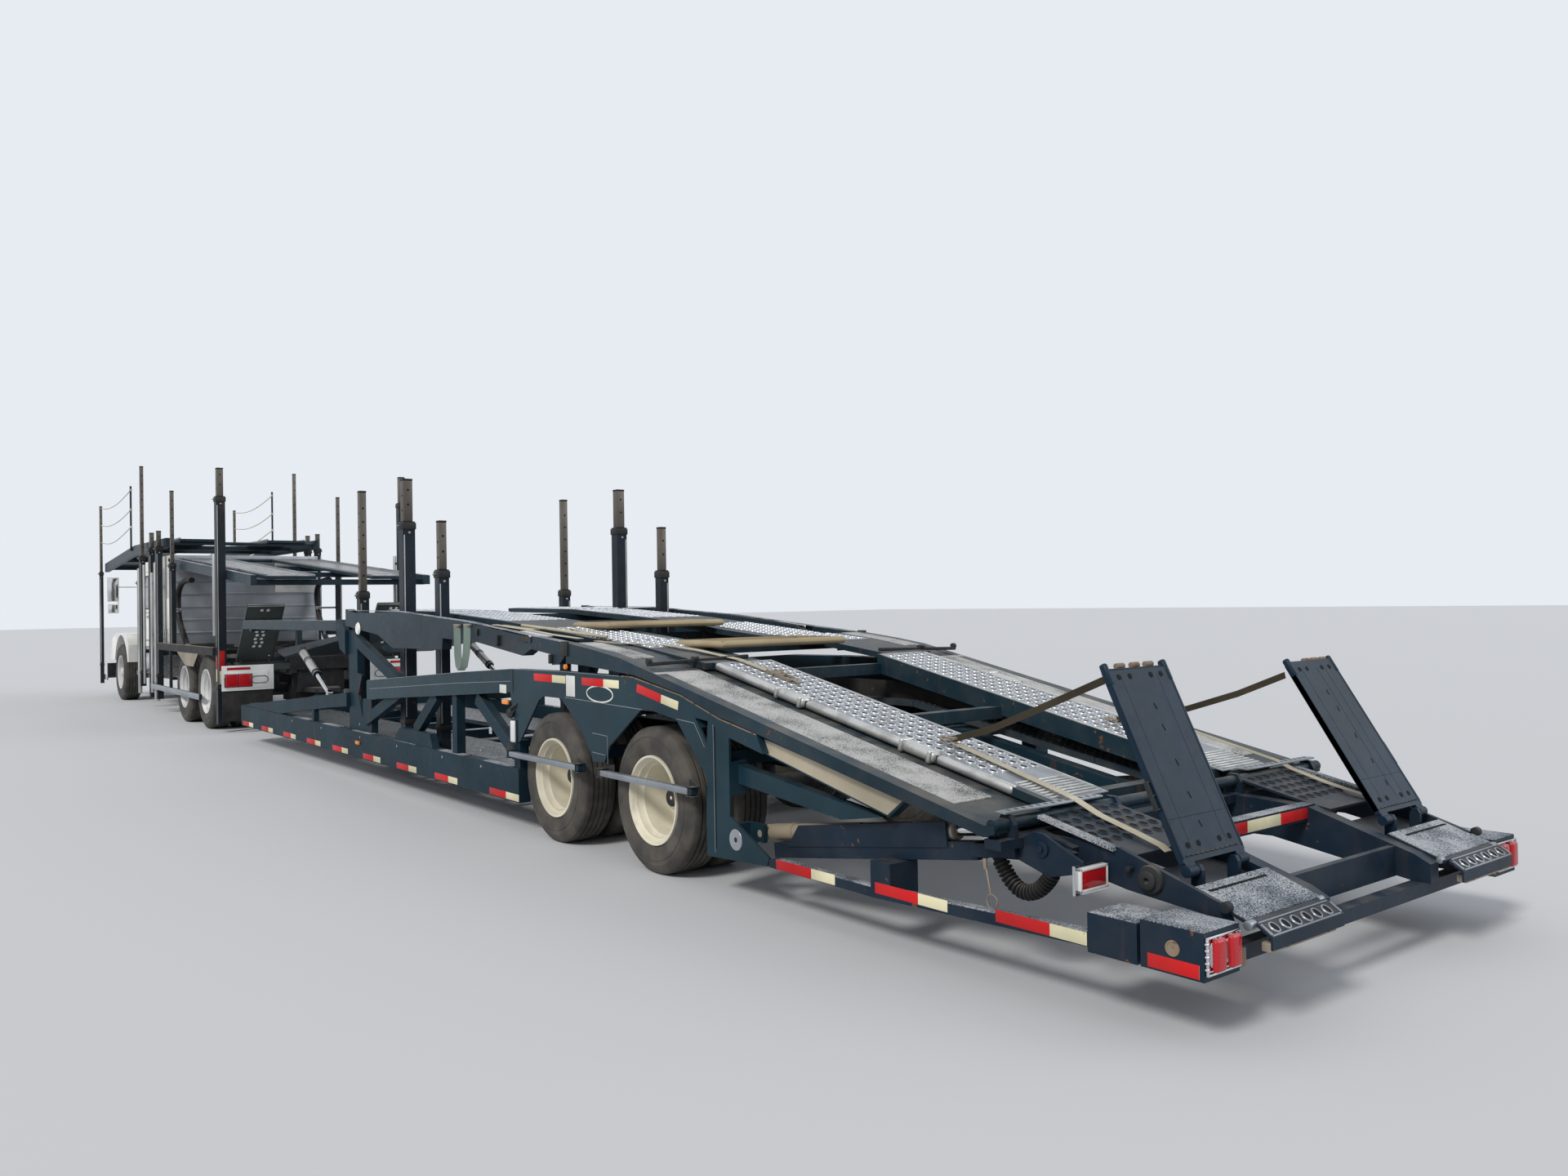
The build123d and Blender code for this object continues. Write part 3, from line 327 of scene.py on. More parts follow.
def eyelets(origin, along, across, counts, pitch, radius, height=0.004, sides=10, stretch=1.0, metal=None):
    """Raised-rim holes in rows: one is pressed and hollowed, then repeated both ways."""
    along, across = Vector(along).normalized(), Vector(across).normalized()
    upward = along.cross(across).normalized()
    if upward.z < 0:
        upward = -upward
    rest()
    bpy.ops.mesh.primitive_cone_add(vertices=sides, radius1=radius, radius2=radius * 0.90, depth=height)
    one = bpy.context.object
    one.scale = (stretch, 1, 1)
    settle(one)
    one.data.materials.append(metal or rim_metal)
    one.data.materials.append(hole_dark)
    pick(one, lambda c, n: n.z > 0.9)
    bpy.ops.mesh.inset(thickness=radius * 0.16, depth=0)
    extrude(0, 0, -height * 0.8)
    one.active_material_index = 1
    bpy.ops.object.material_slot_assign()
    pick(one, lambda c, n: n.z < -0.9)
    bpy.ops.mesh.delete(type="FACE")
    rest()
    turn = Matrix((along, upward.cross(along), upward)).transposed().to_4x4()
    one.matrix_world = Matrix.Translation(Vector(origin) + upward * height / 2) @ turn
    settle(one)
    smooth(50)
    modify(one, "ARRAY", count=counts[0], use_relative_offset=False, use_constant_offset=True,
           constant_offset_displace=along * pitch[0])
    modify(one, "ARRAY", count=counts[1], use_relative_offset=False, use_constant_offset=True,
           constant_offset_displace=across * pitch[1])
    return one


def ring(count, place, draw, sweep=2 * pi):
    """Short pieces drawn from one place to the next round a ring, or round a part of it."""
    return [draw(place(sweep * n / count), place(sweep * (n + 1) / count)) for n in range(count)]


def finished(piece, name, body, finish=None, replaces=()):
    """Joins a list of parts, names the piece, gives it its finish and lets it ride on its body.

    finish is the material that it takes, and replaces are the CAD nodes that it stands for.
    """
    if isinstance(piece, list):
        piece = joined(piece)
    piece.name = name
    piece.data.name = name
    if finish is not None:
        piece.data.materials.clear()
        piece.data.materials.append(finish)
    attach(piece, body)
    if replaces:
        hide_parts(*replaces)


def mirrored(parts, name, body, finish=None):
    """Finishes a piece, or a list of parts, together with its mirror image across the middle."""
    piece = joined(parts) if isinstance(parts, list) else parts
    finished(both_sides(piece), name, body, finish)


# Finishes

COLOR, NUMBER = "NodeSocketColor", "NodeSocketFloat"


def socket(group, name, way, kind, value=None):
    """A named input or output of a node group, with its starting value."""
    made = group.interface.new_socket(name=name, in_out=way, socket_type=kind)
    if value is not None:
        made.default_value = value
    return made


def ramp(tree, feed, low, high):
    """A smooth step of a value from low to high."""
    step = tree.nodes.new("ShaderNodeMapRange")
    step.interpolation_type = "SMOOTHSTEP"
    step.inputs["From Min"].default_value = low
    step.inputs["From Max"].default_value = high
    tree.links.new(feed, step.inputs["Value"])
    return step.outputs["Result"]


def maths(tree, kind, first, second=None):
    """One step of arithmetic on values or on other nodes' outputs."""
    step = tree.nodes.new("ShaderNodeMath")
    step.operation = kind
    for place, value in enumerate((first, second)):
        if value is None:
            continue
        if isinstance(value, (int, float)):
            step.inputs[place].default_value = value
        else:
            tree.links.new(value, step.inputs[place])
    return step.outputs[0]


def mixed(tree, mask, first, second):
    """One colour laid over another by a mask."""
    step = tree.nodes.new("ShaderNodeMix")
    step.data_type = "RGBA"
    tree.links.new(mask, step.inputs["Factor"])
    for place, value in ((6, first), (7, second)):
        if isinstance(value, tuple):
            step.inputs[place].default_value = value
        else:
            tree.links.new(value, step.inputs[place])
    return step.outputs[2]


def noise(tree, place, scale, detail=4, stretch=None):
    """Noise on the piece's own place, stretched by a mapping where that is given."""
    if stretch:
        mapping = tree.nodes.new("ShaderNodeMapping")
        mapping.inputs["Scale"].default_value = stretch
        tree.links.new(place, mapping.inputs["Vector"])
        place = mapping.outputs["Vector"]
    step = tree.nodes.new("ShaderNodeTexNoise")
    step.inputs["Scale"].default_value = scale
    step.inputs["Detail"].default_value = detail
    tree.links.new(place, step.inputs["Vector"])
    return step.outputs["Fac"]


def upward_part(tree):
    """How far a surface faces up, from 1 down to -1 where it faces down."""
    facing = tree.nodes.new("ShaderNodeNewGeometry").outputs["Normal"]
    split = tree.nodes.new("ShaderNodeSeparateXYZ")
    tree.links.new(facing, split.inputs[0])
    return split.outputs["Z"]


def new_group(name, inputs):
    """A shared effect's group, with its given inputs, its outputs and the object's own coordinates."""
    group = bpy.data.node_groups.new(name, "ShaderNodeTree")
    for label, kind, value in inputs:
        socket(group, label, "INPUT", kind, value)
    for label, kind in (("Color", COLOR), ("Roughness", NUMBER), ("Height", NUMBER)):
        socket(group, label, "OUTPUT", kind)
    entry = group.nodes.new("NodeGroupInput")
    leave = group.nodes.new("NodeGroupOutput")
    place = group.nodes.new("ShaderNodeTexCoord").outputs["Object"]
    return group, entry.outputs, leave.inputs, place


# Road wear: uneven colour, chips down to rust, rust runs, and dust on what faces up
road_wear, given, out, place = new_group("road wear", (
    ("Paint", COLOR, (0.02, 0.04, 0.06, 1)), ("Rust", COLOR, (0.14, 0.06, 0.025, 1)),
    ("Dust", COLOR, (0.28, 0.25, 0.21, 1)), ("Chips", NUMBER, 0.4), ("Runs", NUMBER, 0.4),
    ("Dusting", NUMBER, 0.4), ("Sheen", NUMBER, 0.42)))
tree = road_wear
broad = noise(tree, place, 1.7, 5)
fine = noise(tree, place, 26, 8)
specks = noise(tree, place, 90, 3)
shade = tree.nodes.new("ShaderNodeHueSaturation")
tree.links.new(given["Paint"], shade.inputs["Color"])
shade_value = maths(tree, "MULTIPLY_ADD", ramp(tree, broad, 0.25, 0.75), 0.5)
shade_value.node.inputs[2].default_value = 0.75
tree.links.new(shade_value, shade.inputs["Value"])
chip_edge = maths(tree, "SUBTRACT", 0.80, maths(tree, "MULTIPLY", given["Chips"], 0.16))
chips = maths(tree, "GREATER_THAN", maths(tree, "ADD", maths(tree, "MULTIPLY", fine, 0.8),
                                          maths(tree, "MULTIPLY", broad, 0.3)), chip_edge)
runs = ramp(tree, noise(tree, place, 5.5, 4, (3.2, 3.2, 0.35)), 0.58, 0.72)
runs = maths(tree, "MULTIPLY", maths(tree, "MULTIPLY", runs,
                                     ramp(tree, noise(tree, place, 0.9, 2), 0.45, 0.65)), given["Runs"])
upward = ramp(tree, upward_part(tree), 0.35, 0.95)
drift = maths(tree, "ADD", maths(tree, "MULTIPLY", upward, 0.75), 0.12)
dust = maths(tree, "MULTIPLY", maths(tree, "MULTIPLY", drift, given["Dusting"]),
             ramp(tree, noise(tree, place, 6.5, 7), 0.30, 0.72))
tone = mixed(tree, maths(tree, "MULTIPLY", runs, 0.8), shade.outputs["Color"], given["Rust"])
tone = mixed(tree, chips, tone, given["Rust"])
tone = mixed(tree, dust, tone, given["Dust"])
tree.links.new(tone, out["Color"])
rough = maths(tree, "ADD", given["Sheen"], maths(tree, "MULTIPLY", dust, 0.5))
rough = maths(tree, "ADD", rough, maths(tree, "MULTIPLY", maths(tree, "ADD", chips, runs), 0.3))
rough = maths(tree, "ADD", rough, maths(tree, "MULTIPLY", maths(tree, "SUBTRACT", fine, 0.5), 0.2))
tree.links.new(rough, out["Roughness"])
height = maths(tree, "SUBTRACT", maths(tree, "MULTIPLY", specks, 0.15), maths(tree, "MULTIPLY", chips, 0.5))
tree.links.new(maths(tree, "ADD", height, maths(tree, "MULTIPLY", broad, 0.4)), out["Height"])

# Pressed holes: staggered rows of round holes painted dark as painted shade, with raised bright rims
pressed_holes, given, out, place = new_group("pressed holes", (
    ("Metal", COLOR, (0.4, 0.4, 0.39, 1)), ("Painted hole shade", COLOR, (0.012, 0.013, 0.015, 1)),
    ("Pitch", NUMBER, 0.07), ("Radius", NUMBER, 0.27), ("Wear", NUMBER, 0.5)))
tree = pressed_holes
axes = tree.nodes.new("ShaderNodeSeparateXYZ")
tree.links.new(place, axes.inputs[0])
column = maths(tree, "DIVIDE", axes.outputs["X"], given["Pitch"])
line = maths(tree, "DIVIDE", axes.outputs["Y"], given["Pitch"])
odd = maths(tree, "MULTIPLY", maths(tree, "PINGPONG", maths(tree, "FLOOR", column), 1), 0.5)
dx = maths(tree, "SUBTRACT", maths(tree, "FRACT", column), 0.5)
dy = maths(tree, "SUBTRACT", maths(tree, "FRACT", maths(tree, "ADD", line, odd)), 0.5)
reach = maths(tree, "SQRT", maths(tree, "ADD", maths(tree, "MULTIPLY", dx, dx),
                                  maths(tree, "MULTIPLY", dy, dy)))
flat = ramp(tree, maths(tree, "ABSOLUTE", upward_part(tree)), 0.6, 0.75)
inside = maths(tree, "MULTIPLY", maths(tree, "LESS_THAN", reach, given["Radius"]), flat)
rim = maths(tree, "SUBTRACT", 1, ramp(tree, maths(tree, "ABSOLUTE", maths(tree, "SUBTRACT", reach,
            maths(tree, "ADD", given["Radius"], 0.05))), 0.0, 0.07))
rim = maths(tree, "MULTIPLY", rim, flat)
scuff = noise(tree, place, 9, 8)
brushed = noise(tree, place, 4, 6, (1, 14, 14))
tone = mixed(tree, maths(tree, "MULTIPLY", ramp(tree, scuff, 0.42, 0.66), given["Wear"]), given["Metal"],
             (0.11, 0.10, 0.09, 1))
tone = mixed(tree, maths(tree, "MULTIPLY", rim, 0.5), tone, (0.62, 0.62, 0.60, 1))
# inside the holes the colour is the dark hole colour: painted shade in the holes
tone = mixed(tree, inside, tone, given["Painted hole shade"])
tree.links.new(tone, out["Color"])
tree.links.new(maths(tree, "ADD", maths(tree, "MULTIPLY", scuff, 0.35),
                     maths(tree, "MULTIPLY", brushed, 0.35)), out["Roughness"])
tree.links.new(maths(tree, "SUBTRACT", rim, maths(tree, "MULTIPLY", inside, 1.5)), out["Height"])

# Grit: a coarse cast skin of pale grains in a dark binder, scuffed bare in places
grit, given, out, place = new_group("grit", (
    ("Pale", COLOR, (0.36, 0.35, 0.33, 1)), ("Dark", COLOR, (0.06, 0.065, 0.07, 1)), ("Cover", NUMBER, 0.5)))
tree = grit
grain = noise(tree, place, 160, 3)
patch = noise(tree, place, 5, 8)
mask = maths(tree, "ADD", ramp(tree, grain, 0.36, 0.62), maths(tree, "MULTIPLY",
             maths(tree, "SUBTRACT", patch, given["Cover"]), 3.0))
mask.node.use_clamp = True
tree.links.new(mixed(tree, mask, given["Dark"], given["Pale"]), out["Color"])
tree.links.new(maths(tree, "ADD", maths(tree, "MULTIPLY", patch, 0.2), 0.75), out["Roughness"])
tree.links.new(maths(tree, "ADD", grain, maths(tree, "MULTIPLY", patch, 0.6)), out["Height"])

# Rubber: dusty flanks, the dust laid in noisy patches
road_rubber, given, out, place = new_group("road rubber",
                                           (("Rubber", COLOR, (0.03, 0.029, 0.027, 1)),
                                            ("Dust", COLOR, (0.11, 0.10, 0.086, 1)),
                                            ("Dusting", NUMBER, 0.6)))
tree = road_rubber
patch = noise(tree, place, 7, 8)
grain = noise(tree, place, 120, 4)
mask = maths(tree, "MULTIPLY", ramp(tree, patch, 0.32, 0.72), given["Dusting"])
tree.links.new(mixed(tree, mask, given["Rubber"], given["Dust"]), out["Color"])
tree.links.new(maths(tree, "ADD", maths(tree, "MULTIPLY", patch, 0.25), 0.68), out["Roughness"])
tree.links.new(grain, out["Height"])


def finish_of(name, group, values, metallic=0.0, bump=0.15, depth=0.002, **sockets):
    """A material of one shared effect with its own values, on a Principled shader."""
    material = bpy.data.materials.new(name)
    material.use_nodes = True
    tree = material.node_tree
    shader = tree.nodes["Principled BSDF"]
    shader.inputs["Metallic"].default_value = metallic
    for key, value in sockets.items():
        shader.inputs[key.replace("_", " ").title().replace("Ior", "IOR")].default_value = value
    effect = tree.nodes.new("ShaderNodeGroup")
    effect.node_tree = group
    for key, value in values.items():
        effect.inputs[key].default_value = (*value, 1) if isinstance(value, tuple) else value
    tree.links.new(effect.outputs["Color"], shader.inputs["Base Color"])
    tree.links.new(effect.outputs["Roughness"], shader.inputs["Roughness"])
    relief = tree.nodes.new("ShaderNodeBump")
    relief.inputs["Strength"].default_value = bump
    relief.inputs["Distance"].default_value = depth
    tree.links.new(effect.outputs["Height"], relief.inputs["Height"])
    tree.links.new(relief.outputs["Normal"], shader.inputs["Normal"])
    return material


def painted(name, color, chips=0.3, runs=0.3, dusting=0.35, sheen=0.4, metallic=0.0, rust=(0.14, 0.06, 0.025),
            dust=(0.26, 0.235, 0.20), bump=0.12, **sockets):
    """A road-worn paint or metal."""
    return finish_of(name, road_wear, {"Paint": color, "Rust": rust, "Dust": dust, "Chips": chips,
                                       "Runs": runs, "Dusting": dusting, "Sheen": sheen}, metallic, bump,
                     **{"specular_ior_level": 0.16, **sockets})


navy = (0.008, 0.026, 0.040)
frame_paint = painted("trailer frame paint", navy, chips=0.35, runs=0.4, dusting=0.15, sheen=0.5,
                      specular_ior_level=0.12)
truss_paint = painted("side truss paint", navy, chips=0.45, runs=0.8, dusting=0.15, sheen=0.5,
                      specular_ior_level=0.12)
beam_paint = painted("fender beam paint", (0.008, 0.029, 0.043), chips=0.3, runs=0.25, dusting=0.18,
                     sheen=0.36)
tail_paint = painted("tail paint", (0.007, 0.018, 0.034), chips=0.5, runs=0.4, dusting=0.3)
deck_paint = painted("deck paint", (0.009, 0.025, 0.038), chips=0.4, runs=0.4, dusting=0.5)
flap_paint = painted("flipper paint", (0.006, 0.020, 0.039), chips=0.12, runs=0.06, dusting=0.12, sheen=0.36)
plate_paint = painted("tractor flap plate paint", (0.045, 0.056, 0.056), chips=0.3, runs=0.3, dusting=0.3)
post_paint = painted("trailer post paint", (0.012, 0.020, 0.030), chips=0.55, runs=0.5, dusting=0.2)
tractor_post_paint = painted("tractor post paint", (0.014, 0.020, 0.027), chips=0.5, runs=0.5, dusting=0.2)
under_paint = painted("underbody paint", (0.018, 0.020, 0.023), chips=0.5, runs=0.4, dusting=0.7, sheen=0.6)
cylinder_paint = painted("cylinder barrel paint", (0.016, 0.026, 0.036), chips=0.5, runs=0.3, dusting=0.4)
worn_beam = painted("worn ramp barrel", (0.30, 0.25, 0.18), chips=0.8, runs=0.9, dusting=0.6, sheen=0.6)
rust_edge = painted("rusty worn edge", (0.23, 0.17, 0.12), chips=1.0, runs=1.0, dusting=0.9, sheen=0.75,
                    bump=0.4)
bare_steel = painted("bare scraped steel", (0.30, 0.26, 0.21), chips=0.6, runs=0.6, dusting=0.4, sheen=0.5,
                     metallic=0.4)
galvanised = painted("galvanised bar", (0.30, 0.33, 0.36), chips=0.3, runs=0.4, dusting=0.35, sheen=0.38,
                     metallic=0.7)
white_cab = painted("white cab paint", (0.78, 0.78, 0.75), chips=0.0, runs=0.06, dusting=0.15, sheen=0.25,
                    coat_weight=0.4)
silver_wall = painted("silver ribbed wall", (0.33, 0.35, 0.38), chips=0.0, runs=0.15, dusting=0.3, sheen=0.35,
                      metallic=0.5)
silver_post = painted("silver post", (0.46, 0.47, 0.46), chips=0.2, runs=0.4, dusting=0.3, sheen=0.35,
                      metallic=0.5)
cream_wheel = painted("cream wheel paint", (0.66, 0.62, 0.50), chips=0.12, runs=0.3, dusting=0.45, sheen=0.42,
                      dust=(0.30, 0.25, 0.18))
white_wheel = painted("white wheel paint", (0.62, 0.63, 0.63), chips=0.1, runs=0.2, dusting=0.5, sheen=0.4)
hub_dark = painted("dark hub", (0.03, 0.03, 0.03), chips=0.5, runs=0.4, dusting=0.6, sheen=0.5, metallic=0.3)
chrome = painted("chromed steel", (0.62, 0.63, 0.65), chips=0.05, runs=0.05, dusting=0.15, sheen=0.12,
                 metallic=1.0)
rod_chrome = painted("polished rod", (0.60, 0.61, 0.62), chips=0.0, runs=0.05, dusting=0.1, sheen=0.14,
                     metallic=1.0)
tube_steel = painted("inner tube steel", (0.13, 0.115, 0.10), chips=0.4, runs=0.5, dusting=0.25, sheen=0.4,
                     metallic=0.55)
tank_metal = painted("tank aluminium", (0.55, 0.56, 0.57), chips=0.0, runs=0.05, dusting=0.25, sheen=0.25,
                     metallic=0.9)
dark_panel = painted("blank dark panel", (0.018, 0.021, 0.024), chips=0.3, runs=0.3, dusting=0.5, sheen=0.5)
red_tape = painted("red tape", (0.52, 0.012, 0.014), chips=0.35, runs=0.5, dusting=0.3, sheen=0.4,
                   rust=(0.20, 0.11, 0.06))
white_tape = painted("white tape", (0.66, 0.62, 0.42), chips=0.35, runs=0.6, dusting=0.35, sheen=0.4,
                     rust=(0.30, 0.16, 0.07))
red_lens = painted("red lamp lens", (0.42, 0.006, 0.012), chips=0.0, runs=0.0, dusting=0.25, sheen=0.18,
                   coat_weight=0.5)
amber_lens = painted("amber lamp lens", (0.80, 0.25, 0.02), chips=0.0, runs=0.0, dusting=0.2, sheen=0.18,
                     coat_weight=0.5)
clear_lens = painted("clear lamp lens", (0.62, 0.64, 0.64), chips=0.0, runs=0.0, dusting=0.2, sheen=0.15,
                     coat_weight=0.6)
rubber_hose = painted("hose rubber", (0.014, 0.014, 0.015), chips=0.0, runs=0.1, dusting=0.35, sheen=0.5)
cream_web = painted("cream strap webbing", (0.50, 0.46, 0.36), chips=0.0, runs=0.5, dusting=0.4, sheen=0.8,
                    rust=(0.22, 0.18, 0.12), bump=0.3)
dark_web = painted("dark strap webbing", (0.055, 0.045, 0.030), chips=0.0, runs=0.4, dusting=0.5, sheen=0.8,
                   bump=0.3)
green_web = painted("grey-green strap webbing", (0.17, 0.22, 0.20), chips=0.0, runs=0.4, dusting=0.5,
                    sheen=0.8, rust=(0.20, 0.16, 0.10), bump=0.3)
tan_tray = painted("tan drip tray", (0.36, 0.29, 0.18), chips=0.0, runs=0.3, dusting=0.4, sheen=0.55,
                   rust=(0.16, 0.11, 0.06))
cab_trim = painted("cab trim", (0.05, 0.05, 0.052), chips=0.0, runs=0.0, dusting=0.2, sheen=0.6)
white_board = painted("white lamp board", (0.70, 0.71, 0.69), chips=0.05, runs=0.3, dusting=0.35, sheen=0.4)
mudflap = painted("mudflap rubber", (0.016, 0.016, 0.017), chips=0.0, runs=0.3, dusting=0.6, sheen=0.7)
engine_grey = painted("engine grey", (0.10, 0.10, 0.10), chips=0.3, runs=0.3, dusting=0.7, sheen=0.6,
                      metallic=0.3)
track_metal = finish_of("rear track metal", pressed_holes, {"Metal": (0.26, 0.28, 0.31), "Radius": -1.0,
                                                            "Pitch": 0.07, "Wear": 0.25}, 0.45, 0.1)
rim_metal = finish_of("pressed rim metal", pressed_holes, {"Metal": (0.62, 0.64, 0.66), "Radius": -1.0,
                                                          "Pitch": 0.07, "Wear": 0.2}, 0.75, 0.08)
bright_edge = finish_of("rolled bright edge", pressed_holes, {"Metal": (0.58, 0.58, 0.56), "Radius": -1.0,
                                                              "Pitch": 0.07, "Wear": 0.35}, 0.75, 0.08)
# The holed tracks' holes are painted dark: painted shade in the holes
holed_track = finish_of("holed track metal", pressed_holes, {"Metal": (0.30, 0.31, 0.31), "Radius": 0.26,
                                                             "Pitch": 0.075, "Wear": 0.6}, 0.5, 0.6, 0.006)
dark_holed_track = finish_of("dark holed track", pressed_holes,
                             {"Metal": (0.05, 0.07, 0.085), "Radius": 0.26, "Pitch": 0.075, "Wear": 0.5},
                             0.35, 0.6, 0.006)
grit_plate = finish_of("grit plate", grit, {"Pale": (0.46, 0.46, 0.45), "Cover": 0.42}, 0.0, 0.8, 0.003)
tail_grit = finish_of("tail grit", grit, {"Pale": (0.40, 0.42, 0.45), "Dark": (0.03, 0.045, 0.065),
                                          "Cover": 0.50}, 0.0, 0.6, 0.003)
tyre_rubber = finish_of("tyre rubber", road_rubber, {}, 0.0, 0.25)
trailer_rubber = finish_of("trailer tyre rubber", road_rubber,
                           {"Rubber": (0.036, 0.034, 0.031), "Dust": (0.125, 0.110, 0.092), "Dusting": 0.6},
                           0.0, 0.25)
hole_dark = painted("hole shadow", (0.008, 0.009, 0.010), chips=0.0, runs=0.0, dusting=0.05, sheen=0.8)

glass = bpy.data.materials.new("cab glass")
glass.use_nodes = True
glass_shader = glass.node_tree.nodes["Principled BSDF"]
glass_shader.inputs["Base Color"].default_value = (0.55, 0.62, 0.63, 1)
glass_shader.inputs["Transmission Weight"].default_value = 1.0
glass_shader.inputs["IOR"].default_value = 1.45
smear = glass.node_tree.nodes.new("ShaderNodeTexNoise")
smear.inputs["Scale"].default_value = 3.0
spot = glass.node_tree.nodes.new("ShaderNodeTexCoord")
glass.node_tree.links.new(spot.outputs["Object"], smear.inputs["Vector"])
glass.node_tree.links.new(ramp(glass.node_tree, smear.outputs["Fac"], 0.3, 1.6),
                          glass_shader.inputs["Roughness"])

# Which finish each CAD node takes
node_finish = {
    "trailer_frame": frame_paint, "side_trusses": truss_paint, "fender_beams": beam_paint,
    "tail_frame": tail_paint, "trailer_posts": post_paint, "trailer_lamps": chrome,
    "lower_deck": dark_holed_track, "upper_deck": deck_paint, "rear_deck": deck_paint,
    "front_deck": deck_paint, "lift_rods": rod_chrome, "lift_barrels": cylinder_paint,
    "flipper_left": flap_paint, "flipper_right": flap_paint, "tractor_frame": under_paint,
    "engine_block": engine_grey, "drive_guards": under_paint, "tail_plates": plate_paint,
    "tractor_posts": tractor_post_paint, "tractor_deck": deck_paint, "head_deck": deck_paint,
    "cab_shell": white_cab, "windscreen": glass, "door_left": white_cab, "door_right": white_cab,
    "door_glass_left": glass, "door_glass_right": glass, "sleeper_box": white_cab,
    "cab_interior": cab_trim, "hood": white_cab, "grille": chrome, "front_bumper": chrome,
    "fuel_tanks": tank_metal, "mirrors": white_cab, "ramp_barrels": worn_beam, "ramp_rods": rod_chrome,
    "tractor_axles": under_paint, "trailer_axles": under_paint, "knuckle_left": under_paint,
    "knuckle_right": under_paint,
}
for name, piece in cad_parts.items():
    finish = node_finish.get(name, tyre_rubber if "tyre" in name else white_wheel)
    piece.data.materials.clear()
    piece.data.materials.append(finish)

# Wheels

def tyre_profile(middle, radius, bead, width, grooves):
    """Half outline mirrored: bead, bulged flank, shoulder and a grooved tread, closed inside."""
    half = width / 2
    flank = ((half - 0.030, bead - 0.004), (half - 0.014, bead + 0.006), (half - 0.006, bead + 0.028),
             (half - 0.001, bead + 0.06), (half, bead + 0.085), (half - 0.0035, bead + 0.088),
             (half - 0.004, radius - 0.062), (half - 0.001, radius - 0.058), (half - 0.010, radius - 0.034),
             (half - 0.024, radius - 0.010), (half - 0.034, radius - 0.002))
    tread_half = half - 0.034
    tread = []
    for spot in grooves:
        tread += [(spot * tread_half + 0.006, radius), (spot * tread_half + 0.004, radius - 0.011),
                  (spot * tread_half - 0.004, radius - 0.011), (spot * tread_half - 0.006, radius)]
    line = list(flank) + tread + [(-y, r) for y, r in reversed(flank)]
    line += [(-half + 0.030, bead - 0.004), (half - 0.030, bead - 0.004)]
    return [(middle + y, r) for y, r in line]


def rim_profile(y_in, y_out, bead, disc_y, side):
    """A deep dish with stepped walls, disc and hub on the outer side, and a plain dish behind."""
    face = disc_y + side * 0.013
    back = disc_y - side * 0.013
    front = [(face + side * 0.128, 0.0005), (face + side * 0.128, 0.048), (face + side * 0.118, 0.056),
             (face + side * 0.112, 0.056), (face + side * 0.110, 0.074), (face + side * 0.030, 0.090),
             (face + side * 0.012, 0.094), (face + side * 0.010, 0.128), (face, 0.132), (face, bead - 0.092),
             (face + side * 0.012, bead - 0.074), (face + side * 0.034, bead - 0.062),
             (y_out - side * 0.075, bead - 0.056), (y_out - side * 0.060, bead - 0.042),
             (y_out - side * 0.032, bead - 0.038), (y_out - side * 0.024, bead - 0.027),
             (y_out - side * 0.006, bead - 0.020), (y_out, bead - 0.014), (y_out, bead - 0.002),
             (y_out - side * 0.012, bead)]
    rear = [(y_in + side * 0.012, bead), (y_in, bead - 0.002), (y_in, bead - 0.016),
            (y_in + side * 0.03, bead - 0.034), (back - side * 0.02, bead - 0.064), (back, bead - 0.088),
            (back, 0.11), (back, 0.0005)]
    return front + rear


nut_count, stud_count = 10, 8
twin_nut_ring, steer_nut_ring, stud_ring = 0.1125, 0.1425, 0.082


def wheel_fittings(x, z, face, side, nut_ring):
    """A wheel's ring of nuts and its ring of hub studs."""
    nut = round_bar((x + nut_ring, face, z), (x + nut_ring, face + side * 0.026, z), 0.015, 6, 0.002)
    stud = round_bar((x + stud_ring, face + side * 0.025, z), (x + stud_ring, face + side * 0.045, z), 0.007,
                     6, 0)
    parts = []
    for model, count in ((nut, nut_count), (stud, stud_count)):
        for number in range(1, count):
            other = copied(model, (0, 0, 0))
            other.data.transform(Matrix.Translation((x, 0, z))
                                 @ Matrix.Rotation(2 * pi * number / count, 4, "Y")
                                 @ Matrix.Translation((-x, 0, -z)))
            parts.append(other)
    return joined([nut, stud] + parts)


